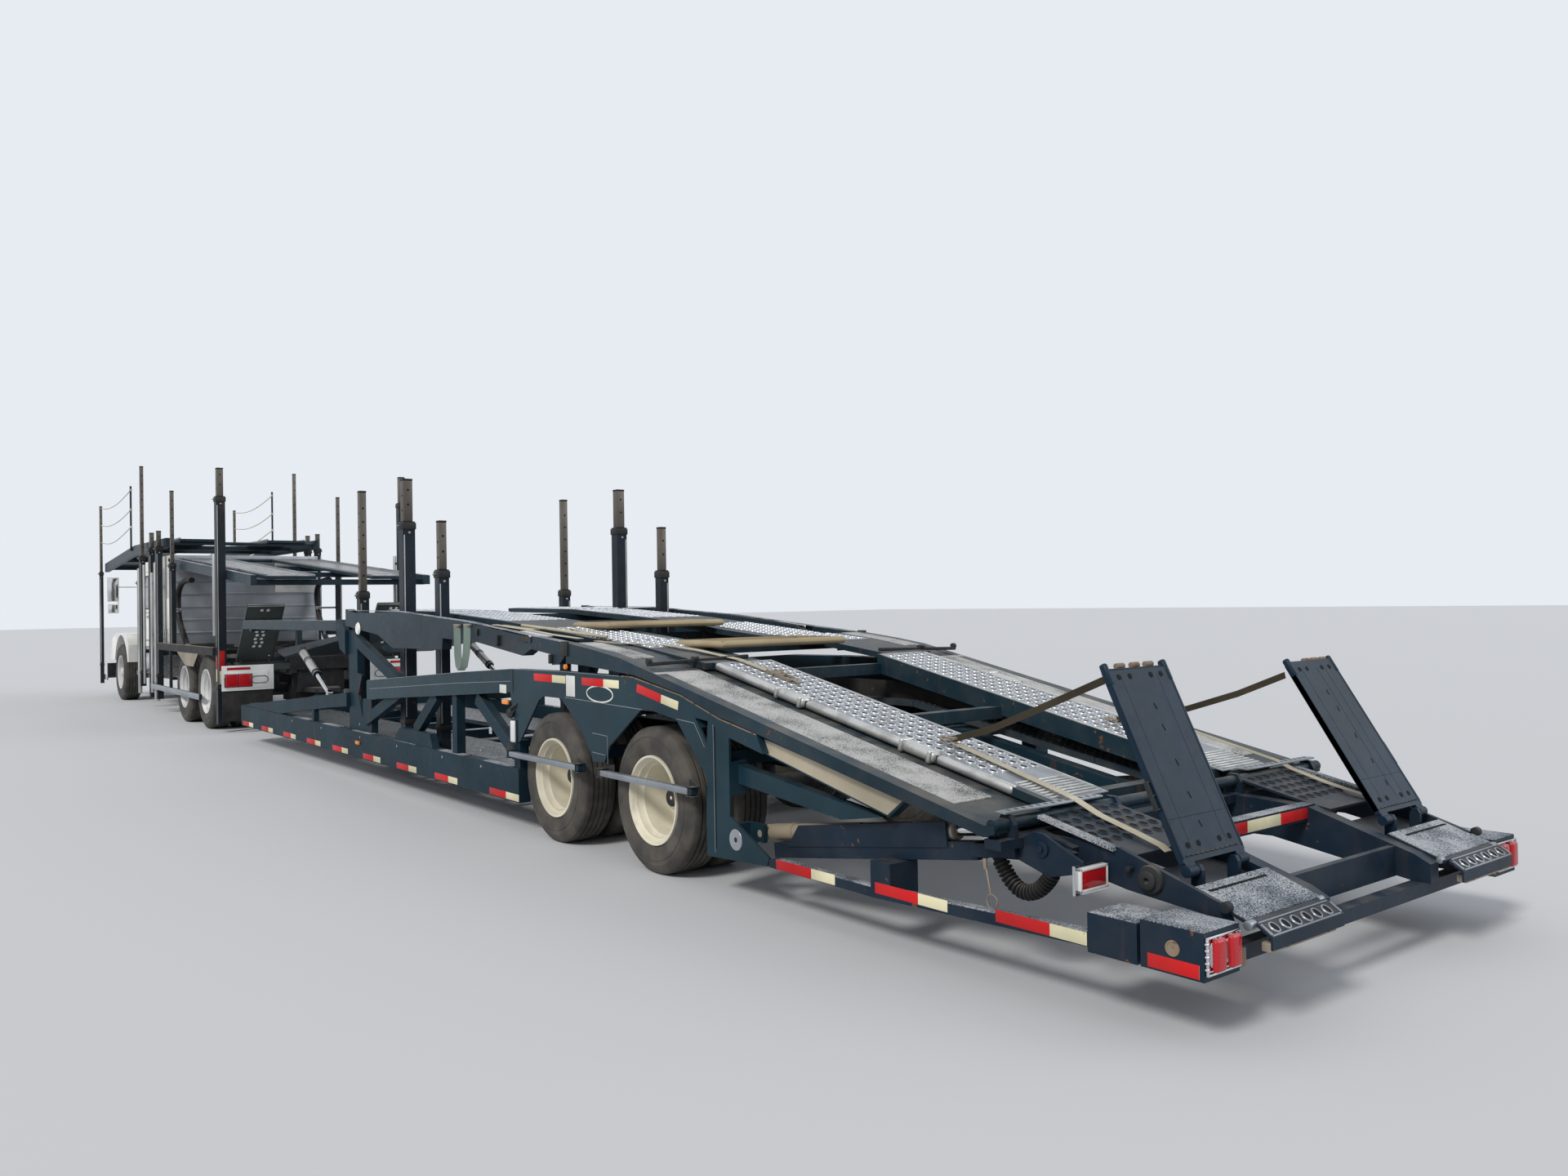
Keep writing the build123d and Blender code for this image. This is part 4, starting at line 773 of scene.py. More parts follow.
# columns: tyre radius, bead radius, tyre width, outer and inner wheel's middle, rim and rubber finish
trailer_wheel = (0.433, 0.265, 0.262, 1.144, 0.846, cream_wheel, trailer_rubber)
drive_wheel = (0.500, 0.300, 0.270, 1.110, 0.800, white_wheel, tyre_rubber)
twin_grooves = (0.56, 0.19, -0.19, -0.56)
for label, x, (radius, bead, width, outer, inner, wheel_paint, rubber) in (
        ("trailer_front", at(1.250), trailer_wheel), ("trailer_rear", at(0), trailer_wheel),
        ("drive_front", aft(1.320), drive_wheel), ("drive_rear", aft(0), drive_wheel)):
    for hand, side in (("left", 1), ("right", -1)):
        body = f"{label}_wheels_{hand}"
        tyres = [turned((x, radius), tyre_profile(side * y, radius, bead, width, twin_grooves))
                 for y in (outer, inner)]
        finished(tyres, f"{label}_road_tyres_{hand}", body, rubber,
                 (f"{label}_tyres_{hand}",))
        y_out, y_in = side * (outer + width / 2 - 0.006), side * (inner - width / 2 + 0.006)
        disc_y = side * (outer + inner) / 2
        rims = turned((x, radius), rim_profile(y_in, y_out, bead, disc_y, side), 48)
        finished(rims, f"{label}_dished_rims_{hand}", body, wheel_paint, (f"{label}_rims_{hand}",))
        nuts = wheel_fittings(x, radius, disc_y + side * 0.013, side, twin_nut_ring)
        finished(nuts, f"{label}_wheel_nuts_{hand}", body, hub_dark)
        cap = turned((x, radius), [(disc_y + side * 0.140, 0.0005), (disc_y + side * 0.143, 0.03),
                                   (disc_y + side * 0.147, 0.046), (disc_y + side * 0.141, 0.052),
                                   (disc_y + side * 0.120, 0.054)], 32)
        finished(cap, f"{label}_hub_cap_{hand}", body, hub_dark)

steer_radius, steer_bead, steer_width, steer_middle = 0.500, 0.300, 0.295, 1.040
steer_grooves = (0.6, 0.2, -0.2, -0.6)
for hand, side in (("left", 1), ("right", -1)):
    x, body = fore(0), f"steer_wheel_{hand}"
    outline = tyre_profile(side * steer_middle, steer_radius, steer_bead, steer_width, steer_grooves)
    tyre = turned((x, steer_radius), outline)
    finished(tyre, f"steer_road_tyre_{hand}", body, tyre_rubber, (f"steer_tyre_{hand}",))
    low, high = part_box(f"steer_rim_{hand}")
    y_out, y_in = (high.y, low.y) if side > 0 else (low.y, high.y)
    dish = [(y_out, 0.0005), (y_out - side * 0.004, 0.06), (y_out - side * 0.012, 0.075),
            (y_out - side * 0.07, 0.095), (y_out - side * 0.075, 0.13), (y_out - side * 0.060, 0.165),
            (y_out - side * 0.066, 0.20), (y_out - side * 0.095, 0.235), (y_out - side * 0.115, 0.262),
            (side * 1.165, 0.272), (side * 1.178, 0.284), (side * 1.181, 0.298), (side * 1.165, steer_bead),
            (side * 0.915, steer_bead), (side * 0.900, 0.285), (y_in, 0.255), (y_in, 0.0005)]
    rim = turned((x, steer_radius), dish, 48)
    finished(rim, f"steer_dished_rim_{hand}", body, white_wheel, (f"steer_rim_{hand}",))
    nuts = wheel_fittings(x, steer_radius, y_out - side * 0.075, side, steer_nut_ring)
    finished(nuts, f"steer_wheel_nuts_{hand}", body, chrome)

# Tape on the sides and the tail

red_length, tape_pitch = 0.279, 0.457
tape_height, tape_depth, tape_edge = 0.05, 0.0035, 0.0012
sill_tape_z = 0.238


def tape_strips(runs, body, name):
    """Red and white tape: each run is a start, an end of its red part and an end of its white part."""
    for part, (color, finish) in enumerate((("red", red_tape), ("white", white_tape))):
        strips = [leaning(*points[part:part + 2], tape_depth, tape_height, tape_edge) for points in runs]
        mirrored(strips, f"{name}_{color}", body, finish)


def tape_run(d, z):
    """Points of one standard strip on the side face, its red part ahead of its white part."""
    return (at(d), face_y, z), (at(d - red_length), face_y, z), (at(d - tape_pitch), face_y, z)


sill_tape_places = (9.25, 8.42, 7.55, 6.70, 5.86, 4.98, 4.12, 3.27)
tape_strips([tape_run(d, sill_tape_z) for d in sill_tape_places], "trailer", "sill_tape")
fender_tape_runs = (((1.47, 1.10), (1.20, 1.10), (1.01, 1.10)), ((0.79, 1.10), (0.51, 1.10), (0.32, 1.10)),
                    ((0.11, 1.09), (-0.16, 1.04), (-0.34, 1.01)),
                    ((2.22, sill_tape_z), (1.94, sill_tape_z), (1.73, sill_tape_z)))
tape_strips([tuple((at(d), face_y, z) for d, z in run) for run in fender_tape_runs], "trailer", "fender_tape")
tape_strips([tape_run(d, 0.263 + 0.045 * (-d - 1.2) / 2.0) for d in (-1.23, -1.97, -2.70)], "trailer",
            "tail_rail_tape")
tape_strips([((aft(-0.700), 1.2545, 0.98), (aft(-0.7001), 1.2545, 0.82), (aft(-0.7002), 1.2545, 0.66))],
            "tractor", "rear_post_tape")

# Rear sloping deck: perforated planks with rolled edges, end ridges, grit plates and a hinge cover
def on_line(line, x):
    """Height of a line of (x, z) points at x."""
    for (x0, z0), (x1, z1) in zip(line, line[1:]):
        if min(x0, x1) <= x <= max(x0, x1):
            return z0 + (z1 - z0) * (x - x0) / (x1 - x0)
    return line[-1][1]


def skin(line, front, rear, y0, y1, lift=0.003, thickness=0.003):
    """A thin plate lying along a line from its front to its rear, between two widths."""
    inner = [x for x, _ in line if min(front, rear) < x < max(front, rear)]
    places = [front] + sorted(inner, reverse=front > rear) + [rear]
    top = [(x, on_line(line, x) + lift) for x in places]
    return outline_plate(top + [(x, z - thickness) for x, z in reversed(top)], y1, y1 - y0, 0)


rear_line = ((at(-0.1), 1.228), (at(-2.65), 0.700))
side_line = ((at(1.0), 1.338), (at(0.6), 1.298), (at(0.31), 1.260), (at(-0.1), 1.174), (at(-2.6), 0.656))
upper_line = ((at(5.4), 1.562), (at(4.06), 1.545), (at(2.63), 1.465), (at(1.03), 1.335))
joint_line = ((at(1.0), 1.338), (at(0.6), 1.310), (at(-0.1), 1.228))
tray_line = ((at(-2.70), 0.668), (at(-3.08), 0.588), (at(-3.17), 0.575))
across = (0, 1, 0)
down = Vector((-2.55, 0, -0.528)).normalized()


def on_rear(d, y, lift=0.0):
    """A point of the rear deck's planks, lifted off them."""
    return at(d), y, on_line(rear_line, at(d)) + lift


planks = skin(rear_line, at(-0.11), at(-2.64), 0.462, 0.845, 0.003, 0.004)
mirrored(planks, "rear_plank_skins", "rear_deck", track_metal)
holes = eyelets(on_rear(-0.173, 0.509, 0.002), down, across, (31, 5), (0.0705, 0.0715), 0.0235, 0.006, 10,
                1.15)
mirrored(holes, "rear_plank_holes", "rear_deck")
edges = []
for start, end in ((-0.11, -0.74), (-0.97, -1.74), (-1.96, -2.44)):
    edges.append(leaning(on_rear(start, 0.862, -0.018), on_rear(end, 0.862, -0.018), 0.048, 0.046, 0.019, 4))
edges.append(leaning(on_rear(-0.11, 0.466, -0.012), on_rear(-2.56, 0.466, -0.012), 0.016, 0.034, 0.006, 2))
mirrored(edges, "rear_plank_edges", "rear_deck", bright_edge)
clips = []
for start, end in ((-0.74, -0.97), (-1.74, -1.96)):
    clips.append(leaning(on_rear(start, 0.868, -0.014), on_rear(end, 0.868, -0.014), 0.066, 0.058, 0.022, 4))
    clips.append(leaning(on_rear(start + 0.012, 0.872, -0.010), on_rear(start - 0.014, 0.872, -0.012),
                         0.080, 0.066, 0.010, 3))
    clips.append(leaning(on_rear(end + 0.040, 0.872, -0.012), on_rear(end + 0.014, 0.872, -0.014), 0.080,
                         0.066, 0.010, 3))
mirrored(clips, "rear_edge_clips", "rear_deck", bright_edge)
ridge = leaning(on_rear(-2.415, 0.485, 0.004), on_rear(-2.415, 0.835, 0.004), 0.012, 0.014, 0.004)
ridges = spread(ridge, [tuple(down * 0.029 * n) for n in range(1, 8)])
mirrored(ridges, "rear_plank_ridges", "rear_deck", bright_edge)
grit_skin = skin(side_line, at(-0.06), at(-2.385), 0.953, 1.286, 0.004, 0.004)
apron = skin(side_line, at(0.98), at(0.28), 1.062, 1.212, 0.004, 0.004)
mirrored([grit_skin, apron], "rear_grit_plates", "rear_deck", grit_plate)
cover = bar(at(-2.705), at(-2.648), 0.586, 1.232, 0.698, 0.708, 0.003)
mirrored(cover, "hinge_covers", "rear_deck", galvanised)
slots = spread(bar(at(-2.685), at(-2.664), 0.610, 0.618, 0.7065, 0.7092, 0),
               [(0, 0.047 * n, 0) for n in range(1, 13)])
mirrored(slots, "hinge_cover_slots", "rear_deck", hole_dark)
stop = [leaning((at(0.0), 0.56, 1.252), (at(0.0), 1.285, 1.232), 0.034, 0.022, 0.003),
        round_bar((at(0.0), 1.262, 1.250), (at(0.0), 1.289, 1.250), 0.020, 16),
        round_bar((at(-0.03), 0.95, 1.256), (at(0.03), 0.95, 1.256), 0.012, 12)]
mirrored(stop, "deck_stop_bars", "rear_deck", dark_panel)

# Tail trays: pressed hole plates, grit tops, slotted plates and flaps with oval holes
tray_down = Vector((-0.38, 0, -0.08)).normalized()
tray_holes = eyelets((at(-2.737), 0.556, on_line(tray_line, at(-2.737)) + 0.0005), tray_down, across, (5, 7),
                     (0.0685, 0.0685), 0.0265, 0.003, 14, 1.0, tail_paint)
mirrored(tray_holes, "tray_holes", "trailer")
grit_parts = [skin(tray_line, at(-2.72), at(-3.10), 1.009, 1.052, 0.014, 0.014),
              skin(((at(-3.43), 0.497), (at(-3.675), 0.413)), at(-3.435), at(-3.655), 0.512, 1.024, 0.004,
                   0.004),
              bar(at(-3.652), at(-3.396), 1.080, 1.292, 0.420, 0.424, 0.001),
              bar(at(-3.378), at(-3.165), 1.080, 1.292, 0.399, 0.403, 0.001),
              bar(at(-3.095), at(-3.031), 0.0, 0.500, 0.589, 0.593, 0.001)]
mirrored(grit_parts, "tail_grit_tops", "trailer", tail_grit)
rail_top = leaning((at(-1.22), 1.265, 0.2815), (at(-1.97), 1.265, 0.2785), 0.054, 0.006, 0.001)
rail_tail = leaning((at(-1.97), 1.265, 0.2785), (at(-3.155), 1.265, 0.3225), 0.054, 0.006, 0.001)
mirrored([rail_top, rail_tail], "tail_rail_tops", "trailer", tail_grit)
slot_bar = leaning((at(-3.476), 0.588, 0.4866), (at(-3.476), 0.648, 0.4866), 0.014, 0.004, 0.0015)
mirrored(spread(slot_bar, [(0, 0.066 * n, 0) for n in range(1, 6)]), "tail_plate_slots", "trailer",
         hole_dark)
flap_down = Vector((-0.060, 0, -0.038)).normalized()
flap_holes = eyelets((at(-3.721), 0.590, 0.3975), flap_down, across, (1, 6), (0.07, 0.0735), 0.024, 0.004,
                     14, 1.1, silver_wall)
mirrored(flap_holes, "tail_flap_holes", "trailer")
flap_rim = [leaning((at(-3.692), 0.535, 0.417), (at(-3.692), 1.012, 0.417), 0.006, 0.006, 0.002),
            leaning((at(-3.7465), 0.535, 0.382), (at(-3.7465), 1.012, 0.382), 0.006, 0.006, 0.002),
            leaning((at(-3.70), 0.529, 0.413), (at(-3.745), 0.529, 0.384), 0.008, 0.008, 0.002),
            leaning((at(-3.70), 1.012, 0.413), (at(-3.745), 1.012, 0.384), 0.008, 0.008, 0.002),
            round_bar((at(-3.665), 1.000, 0.405), (at(-3.665), 1.040, 0.405), 0.018, 16),
            round_bar((at(-3.655), 0.500, 0.412), (at(-3.655), 0.535, 0.412), 0.014, 16)]
mirrored(flap_rim, "tail_flap_rims", "trailer", galvanised)
sill = bar(at(-3.742), at(-3.700), 0.560, 1.010, 0.318, 0.352, 0.004)
pegs = spread(round_bar((at(-3.745), 0.62, 0.334), (at(-3.741), 0.62, 0.334), 0.010, 12), [(0, 0.29, 0)])
mirrored(sill, "tail_sill_plates", "trailer", bare_steel)
mirrored(pegs, "tail_sill_pegs", "trailer", hole_dark)
block_end = bar(at(-3.66), at(-3.60), 1.040, 1.075, 0.262, 0.330, 0.004)
mirrored(block_end, "cross_bar_ends", "trailer", rust_edge)
# Tail lamps: chromed plates with scalloped rims, red lenses with ribs, square lamps, side reflectors
lamp_plates = []
for z0, z1 in ((0.272, 0.2805), (0.3995, 0.408)):
    lamp_plates.append(bar(at(-3.668), at(-3.655), 1.084, 1.290, z0, z1, 0.003))
for y in (1.088, 1.287):
    lamp_plates.append(bar(at(-3.668), at(-3.655), y - 0.004, y + 0.003, 0.275, 0.405, 0.002))
for n in range(5):
    lamp_plates.append(round_bar((at(-3.669), 1.286, 0.296 + 0.022 * n),
                                 (at(-3.655), 1.286, 0.296 + 0.022 * n), 0.008, 12))
mirrored(lamp_plates, "tail_lamp_bezels", "trailer", chrome)
lenses = []
for y in (1.135, 1.230):
    lens = bar(at(-3.686), at(-3.660), y - 0.0335, y + 0.0335, 0.282, 0.398, 0)
    lenses.append(soften(lens, 0.013, 4))
    lenses.append(bar(at(-3.6875), at(-3.676), y - 0.022, y + 0.022, 0.3385, 0.3415, 0.001))
lenses.append(bar(at(-3.0715), at(-3.069), 1.056, 1.210, 0.452, 0.523, 0.001))
mirrored(lenses, "tail_lamp_lenses", "trailer", red_lens)
frame_bars = [bar(at(-3.074), at(-3.058), 1.046, 1.219, 0.522, 0.535, 0.004),
              bar(at(-3.074), at(-3.058), 1.046, 1.219, 0.440, 0.453, 0.004),
              bar(at(-3.074), at(-3.058), 1.046, 1.058, 0.440, 0.535, 0.004),
              bar(at(-3.074), at(-3.058), 1.207, 1.219, 0.440, 0.535, 0.004)]
mirrored(frame_bars, "square_lamp_frames", "trailer", white_board)
reflector = turned((at(-3.530), 0.345), [(face_y, 0.0005), (1.2990, 0.012), (1.2985, 0.021), (1.3010, 0.023),
                                         (1.3005, 0.028), (face_y, 0.029)], 28)
mirrored(reflector, "corner_reflectors", "trailer", rust_edge)
tape_strips([((at(-3.425), 1.2948, 0.283), (at(-3.635), 1.2948, 0.283), (at(-3.6351), 1.2948, 0.283))],
            "trailer", "corner_tape")
for name, y0, y1, finish in (("near_red", 0.47, 0.085, red_tape), ("middle_white", 0.083, -0.193, white_tape),
                             ("far_red", -0.195, -0.47, red_tape)):
    finished(bar(at(-3.0985), at(-3.0955), y0, y1, 0.530, 0.582, 0.001), f"cross_bar_{name}", "trailer",
             finish)
for y in (0.46, -0.46):
    finished([round_bar((at(-3.504), y, z), (at(-3.498), y, z), 0.012, 6, 0.002) for z in (0.36, 0.43)],
             f"panel_bolts_{'left' if y > 0 else 'right'}", "trailer", galvanised)

# Flippers: channel flanges, creased faces, holes in pairs, weld lines, lugs, handles and worn head barrels
for hand, side, head in (("left", 1, (at(-3.022), 1.285)), ("right", -1, (at(-2.926), 1.249))):
    foot = Vector((at(-3.378), 0, 0.538))
    run = (Vector((head[0], 0, head[1])) - foot).normalized()
    out_way = Vector((-run.z, 0, run.x))
    body = f"flipper_{hand}"

    def on_flap(along, y, lift=0.012):
        """A point of the flipper: along from its foot, across the vehicle, off its middle plane."""
        return tuple(foot + run * along + out_way * lift + Vector((0, side * y, 0)))

    flanges = [leaning(on_flap(0.045, y, -0.001), on_flap(0.832, y, -0.001), 0.012, 0.031, 0.003)
               for y in (0.574, 0.977)]
    flanges += [leaning(on_flap(0.765, y, 0.001), on_flap(0.862, y, 0.001), 0.026, 0.033, 0.010, 3)
                for y in (0.578, 0.974)]
    flanges.append(leaning(on_flap(0.824, 0.60, -0.001), on_flap(0.824, 0.95, -0.001), 0.014, 0.030, 0.003))
    finished(flanges, f"{body}_flanges", body, flap_paint)
    creases = [leaning(on_flap(0.075, y, 0.0121), on_flap(0.80, y, 0.0121), 0.005, 0.0012, 0)
               for y in ((0.660, 0.900) if side > 0 else (0.655, 0.800, 0.872))]
    seam = leaning(on_flap(0.203, 0.580, 0.0121), on_flap(0.203, 0.972, 0.0121), 0.003, 0.0010, 0)
    rims = [leaning(on_flap(0.05, y, 0.0115), on_flap(0.83, y, 0.0115), 0.004, 0.005, 0.0015)
            for y in (0.570, 0.982)]
    finished(creases + [seam] + rims, f"{body}_creases", body, flap_paint)
    bead = leaning(on_flap(0.056, 0.600, 0.0125), on_flap(0.056, 0.624, 0.0125), 0.010, 0.006, 0.003)
    finished(spread(bead, [(0, side * 0.0335 * n, 0) for n in range(1, 11)]), f"{body}_weld_beads", body,
             dark_panel)
    holes = [round_bar(on_flap(s, y, 0.0100), on_flap(s, y, 0.0135), 0.0125, 18, 0)
             for s in (0.094, 0.797) for y in (0.634, 0.704, 0.846, 0.918)]
    slits = ((0.165, 0.782), (0.282, 0.775), (0.418, 0.768), (0.567, 0.760), (0.66, 0.757))
    for s, y in slits:
        holes.append(leaning(on_flap(s - 0.014, y, 0.0128), on_flap(s + 0.014, y + 0.006, 0.0128), 0.005,
                             0.0016, 0.0005))
    finished(holes, f"{body}_holes", body, hole_dark)
    handle = [leaning(on_flap(0.245, 0.991, -0.010), on_flap(0.365, 0.991, -0.010), 0.020, 0.008, 0.002),
              leaning(on_flap(0.245, 0.999, -0.003), on_flap(0.365, 0.999, -0.003), 0.005, 0.022, 0.002)]
    handle += [leaning(on_flap(s, 0.991, -0.003), on_flap(s + 0.006, 0.991, -0.003), 0.020, 0.022, 0.002)
               for s in (0.247, 0.302, 0.357)]
    finished(handle, f"{body}_handles", body, dark_panel)
    barrels = [round_bar(on_flap(0.851, y, -0.006), on_flap(0.851, y + 0.052, -0.006), 0.0125, 14, 0.003)
               for y in ((0.640, 0.735, 0.835) if side > 0 else (0.745, 0.825, 0.905))]
    finished(barrels, f"{body}_head_barrels", body, rust_edge)

# Straps: dark webbing from the flippers to hooks in the planks, pale webbing down to the trays
# The routes' columns: metres ahead of the trailer's rear axle, across, up
left_flipper_route = ((-1.86, 0.665, 0.893), (-2.16, 0.735, 0.965), (-2.52, 0.825, 1.085),
                      (-3.000, 0.955, 1.250))
right_flipper_route = ((-1.86, 0.66, 0.893), (-2.10, 0.625, 0.930), (-2.36, 0.590, 0.990),
                       (-2.66, 0.575, 1.085), (-2.918, 0.574, 1.190))
for hand, side, points in (("left", 1, left_flipper_route), ("right", -1, right_flipper_route)):
    web = ribbon(route(points, side), 0.034, 0.003, (0, 0.35, 0.94))
    finished(web, f"flipper_strap_{hand}", "rear_deck", dark_web)
    hook = ring(10, lambda a: (at(-1.815 + 0.030 * cos(a)), side * (0.665 + 0.030 * sin(a)),
                               0.893 + 0.006 * cos(a)), lambda a, b: round_bar(a, b, 0.0065, 8, 0))
    hook += [round_bar((at(-1.85), side * 0.668, 0.896), (at(-1.905), side * 0.676, 0.903), 0.009, 12),
             round_bar((at(-1.905), side * 0.650, 0.901), (at(-1.905), side * 0.705, 0.901), 0.008, 12),
             bar(at(-1.875), at(-1.845), side * 0.648, side * 0.690, 0.886, 0.892, 0.002)]
    finished(hook, f"strap_hook_{hand}", "rear_deck", bare_steel)
left_tray_route = ((-1.87, 0.668, 0.880), (-2.05, 0.676, 0.838), (-2.27, 0.700, 0.793), (-2.40, 0.722, 0.768),
                   (-2.62, 0.755, 0.728), (-2.68, 0.762, 0.714), (-2.83, 0.776, 0.660), (-3.02, 0.800, 0.619),
                   (-3.165, 0.824, 0.588), (-3.215, 0.85, 0.575))
right_tray_route = ((-2.02, -1.000, 0.846), (-2.335, -0.962, 0.782), (-2.55, -0.942, 0.738),
                    (-2.66, -0.938, 0.714), (-2.743, -0.930, 0.680), (-2.947, -0.900, 0.634),
                    (-3.098, -0.892, 0.602), (-3.20, -0.888, 0.585))
for hand, points in (("left", left_tray_route), ("right", right_tray_route)):
    finished(ribbon(route(points), 0.046, 0.003), f"tray_strap_{hand}", "rear_deck", cream_web)

# Behind the wheels: worn cylinder ends, boom brackets, pivot plates, spools, ribbed hoses and a lanyard pin
worn_end = [round_bar((at(-1.005), 1.120, 0.373), (at(-1.165), 1.120, 0.397), 0.0445, 28, 0.004),
            round_bar((at(-1.165), 1.120, 0.397), (at(-1.185), 1.120, 0.400), 0.0475, 28, 0.003)]
mirrored(worn_end, "ramp_barrel_ends", "ramp_barrels", worn_beam)
bright_end = [round_bar((at(-2.06), 1.120, 0.529), (at(-2.325), 1.120, 0.568), 0.0440, 28, 0.004),
              round_bar((at(-2.245), 1.120, 0.5565), (at(-2.262), 1.120, 0.559), 0.0465, 28, 0.003)]
mirrored(bright_end, "ramp_barrel_heads", "ramp_barrels", silver_post)
fittings = [outline_plate([(at(d), z) for d, z in ((-2.70, 0.50), (-2.70, 0.59), (-2.78, 0.632),
                                                   (-2.83, 0.628), (-3.03, 0.545), (-3.03, 0.50),
                                                   (-2.86, 0.455))], 1.148, 0.014),
            round_bar((at(-2.825), 1.146, 0.565), (at(-2.825), 1.158, 0.565), 0.034, 28, 0.003),
            round_bar((at(-2.825), 1.156, 0.565), (at(-2.825), 1.168, 0.565), 0.014, 6, 0.002),
            leaning((at(-2.47), 1.185, 0.512), (at(-2.70), 1.165, 0.540), 0.018, 0.058, 0.003),
            leaning((at(-2.52), 1.150, 0.60), (at(-2.66), 1.150, 0.53), 0.020, 0.030, 0.003)]
mirrored(fittings, "tail_pivot_plates", "trailer", tail_paint)
spool = turned((at(-3.262), 0.500), [(1.0315, 0.0005), (1.068, 0.012), (1.068, 0.030), (1.064, 0.036),
                                     (1.058, 0.030), (1.052, 0.030), (1.047, 0.052), (1.040, 0.056),
                                     (1.0315, 0.056)], 36)
nut = round_bar((at(-3.172), 1.0315, 0.527), (at(-3.172), 1.062, 0.527), 0.013, 6, 0.002)
mirrored([spool, nut], "tray_side_spools", "trailer", dark_panel)
end_pin = round_bar((at(-3.587), 1.028, 0.458), (at(-3.587), 1.062, 0.458), 0.021, 20, 0.003)
mirrored(end_pin, "tray_end_pins", "trailer", dark_panel)
hose_line = [(at(d), 1.120, z) for d, z in ((-2.475, 0.520), (-2.530, 0.520), (-2.585, 0.462),
                                            (-2.625, 0.400), (-2.700, 0.358), (-2.775, 0.380),
                                            (-2.830, 0.430), (-2.862, 0.480))]
mirrored(hose(hose_line, 0.024, 4), "ribbed_hose_cores", "trailer", rubber_hose)
ribs = []
for n in range(20):
    share = n / 19 * (len(hose_line) - 3.2) + 1.3
    index = min(int(share), len(hose_line) - 3)
    a, b, c = (Vector(hose_line[index + k]) for k in (0, 1, 2))
    t = share - index
    start, end = a.lerp(b, 0.5), b.lerp(c, 0.5)
    spot = start * (1 - t) ** 2 + b * 2 * t * (1 - t) + end * t * t
    way = ((b - start) * (1 - t) + (end - b) * t).normalized()
    ribs.append(round_bar(spot - way * 0.005, spot + way * 0.005, 0.0350, 14, 0.003))
mirrored(ribs, "ribbed_hose_ribs", "trailer", rubber_hose)
pin = [round_bar((at(-2.552), 1.190, 0.470), (at(-2.580), 1.190, 0.345), 0.0055, 10, 0.001),
       round_bar((at(-2.549), 1.190, 0.490), (at(-2.552), 1.190, 0.445), 0.010, 10, 0.002)]
pin += ring(14, lambda a: (at(-2.586 + 0.030 * cos(a)), 1.190, 0.314 + 0.030 * sin(a)),
            lambda a, b: round_bar(a, b, 0.0035, 8, 0))
finished(pin, "lanyard_pin", "trailer", bare_steel)

# Fender beams: worn edges, blank plates, lamps, seams and galvanised guard bars with dark brackets
beam_line = tuple((at(d), z) for d, z in ((4.86, 0.93), (2.79, 1.08), (1.84, 1.14), (1.14, 1.15),
                                          (0.18, 1.15), (-0.35, 1.07), (-0.74, 0.96), (-1.08, 0.90)))
worn = [skin(beam_line, at(0.30), at(-0.35), 1.250, 1.2935, 0.004, 0.004),
        skin(beam_line, at(-0.35), at(-1.07), 1.236, 1.2935, 0.005, 0.005)]
mirrored(worn, "fender_worn_edges", "trailer", rust_edge)
pale = skin(beam_line, at(4.84), at(0.32), 1.280, 1.2935, 0.003, 0.003)
mirrored(pale, "fender_pale_edges", "trailer", galvanised)
# The rear brace's pale plate is partly scraped steel and partly painted sunlight: it is coloured pale where
# sun falls on the brace.
scraped_and_sunlit_steel = painted("pale scraped steel and painted sunlight", (0.42, 0.37, 0.28), chips=0.2, runs=0.7, dusting=0.6, sheen=0.5,
                        bump=0.3, metallic=0.2)
brace = ((at(-1.025), 0.893), (at(-1.51), 0.803), (at(-2.115), 0.686), (at(-2.015), 0.610),
         (at(-1.115), 0.806))
mirrored(outline_plate(brace, 1.253, 0.004, 0.001), "rear_brace_scrapes_and_painted_sunlight", "trailer", scraped_and_sunlit_steel)
brace_top = skin(((at(-1.02), 0.901), (at(-1.51), 0.810), (at(-2.12), 0.694)), at(-1.03), at(-2.11), 1.192,
                 1.248)
mirrored(brace_top, "rear_brace_top", "trailer", rust_edge)


def side_lines(runs, width=0.003, depth=0.0035):
    """Thin raised lines on the side face through (station, height) points."""
    return joined([leaning((at(a), face_y, b), (at(c), face_y, d), width, depth, 0)
                   for run in runs for (a, b), (c, d) in zip(run, run[1:])])


seams = side_lines((((1.02, 0.985), (0.05, 0.965)), ((-0.32, 0.935), (-0.50, 0.925), (-0.60, 0.80)),
                    ((-0.685, 0.93), (-0.69, 0.24)), ((4.78, 0.86), (2.79, 1.00), (1.84, 1.055)),
                    ((0.66, 0.78), (0.47, 0.775), (0.47, 0.60)), ((0.66, 0.66), (0.50, 0.655))))
mirrored(seams, "fender_seams", "trailer", galvanised)
liners = [bar(at(-0.95), at(3.00), 0.600, 0.606, 0.890, 1.040, 0.001),
          bar(at(0.45), at(0.80), 0.606, 1.200, 0.890, 0.896, 0.001)]
mirrored(liners, "inner_arch_liners", "trailer", hub_dark)
gaps = side_lines((((1.80, 1.135), (1.80, 0.975)), ((1.885, 0.97), (1.885, 0.94)),
                   ((-0.70, 0.92), (-0.70, 0.26))), 0.003, 0.010)
mirrored(gaps, "fender_gaps", "trailer", hole_dark)
blank = [bar(at(1.91), at(2.02), face_y, 1.2975, 0.965, 1.025, 0.001),
         bar(at(0.88), at(1.00), face_y, 1.2975, 0.995, 1.130, 0.001)]
finished(blank, "blank_side_plates", "trailer", white_board)
oval = ring(28, lambda a: (at(0.56 + 0.165 * cos(a)), face_y, 1.030 + 0.050 * sin(a)),
            lambda a, b: leaning(a, b, 0.003, 0.009, 0))
finished(oval, "blank_oval_rim", "trailer", white_board)
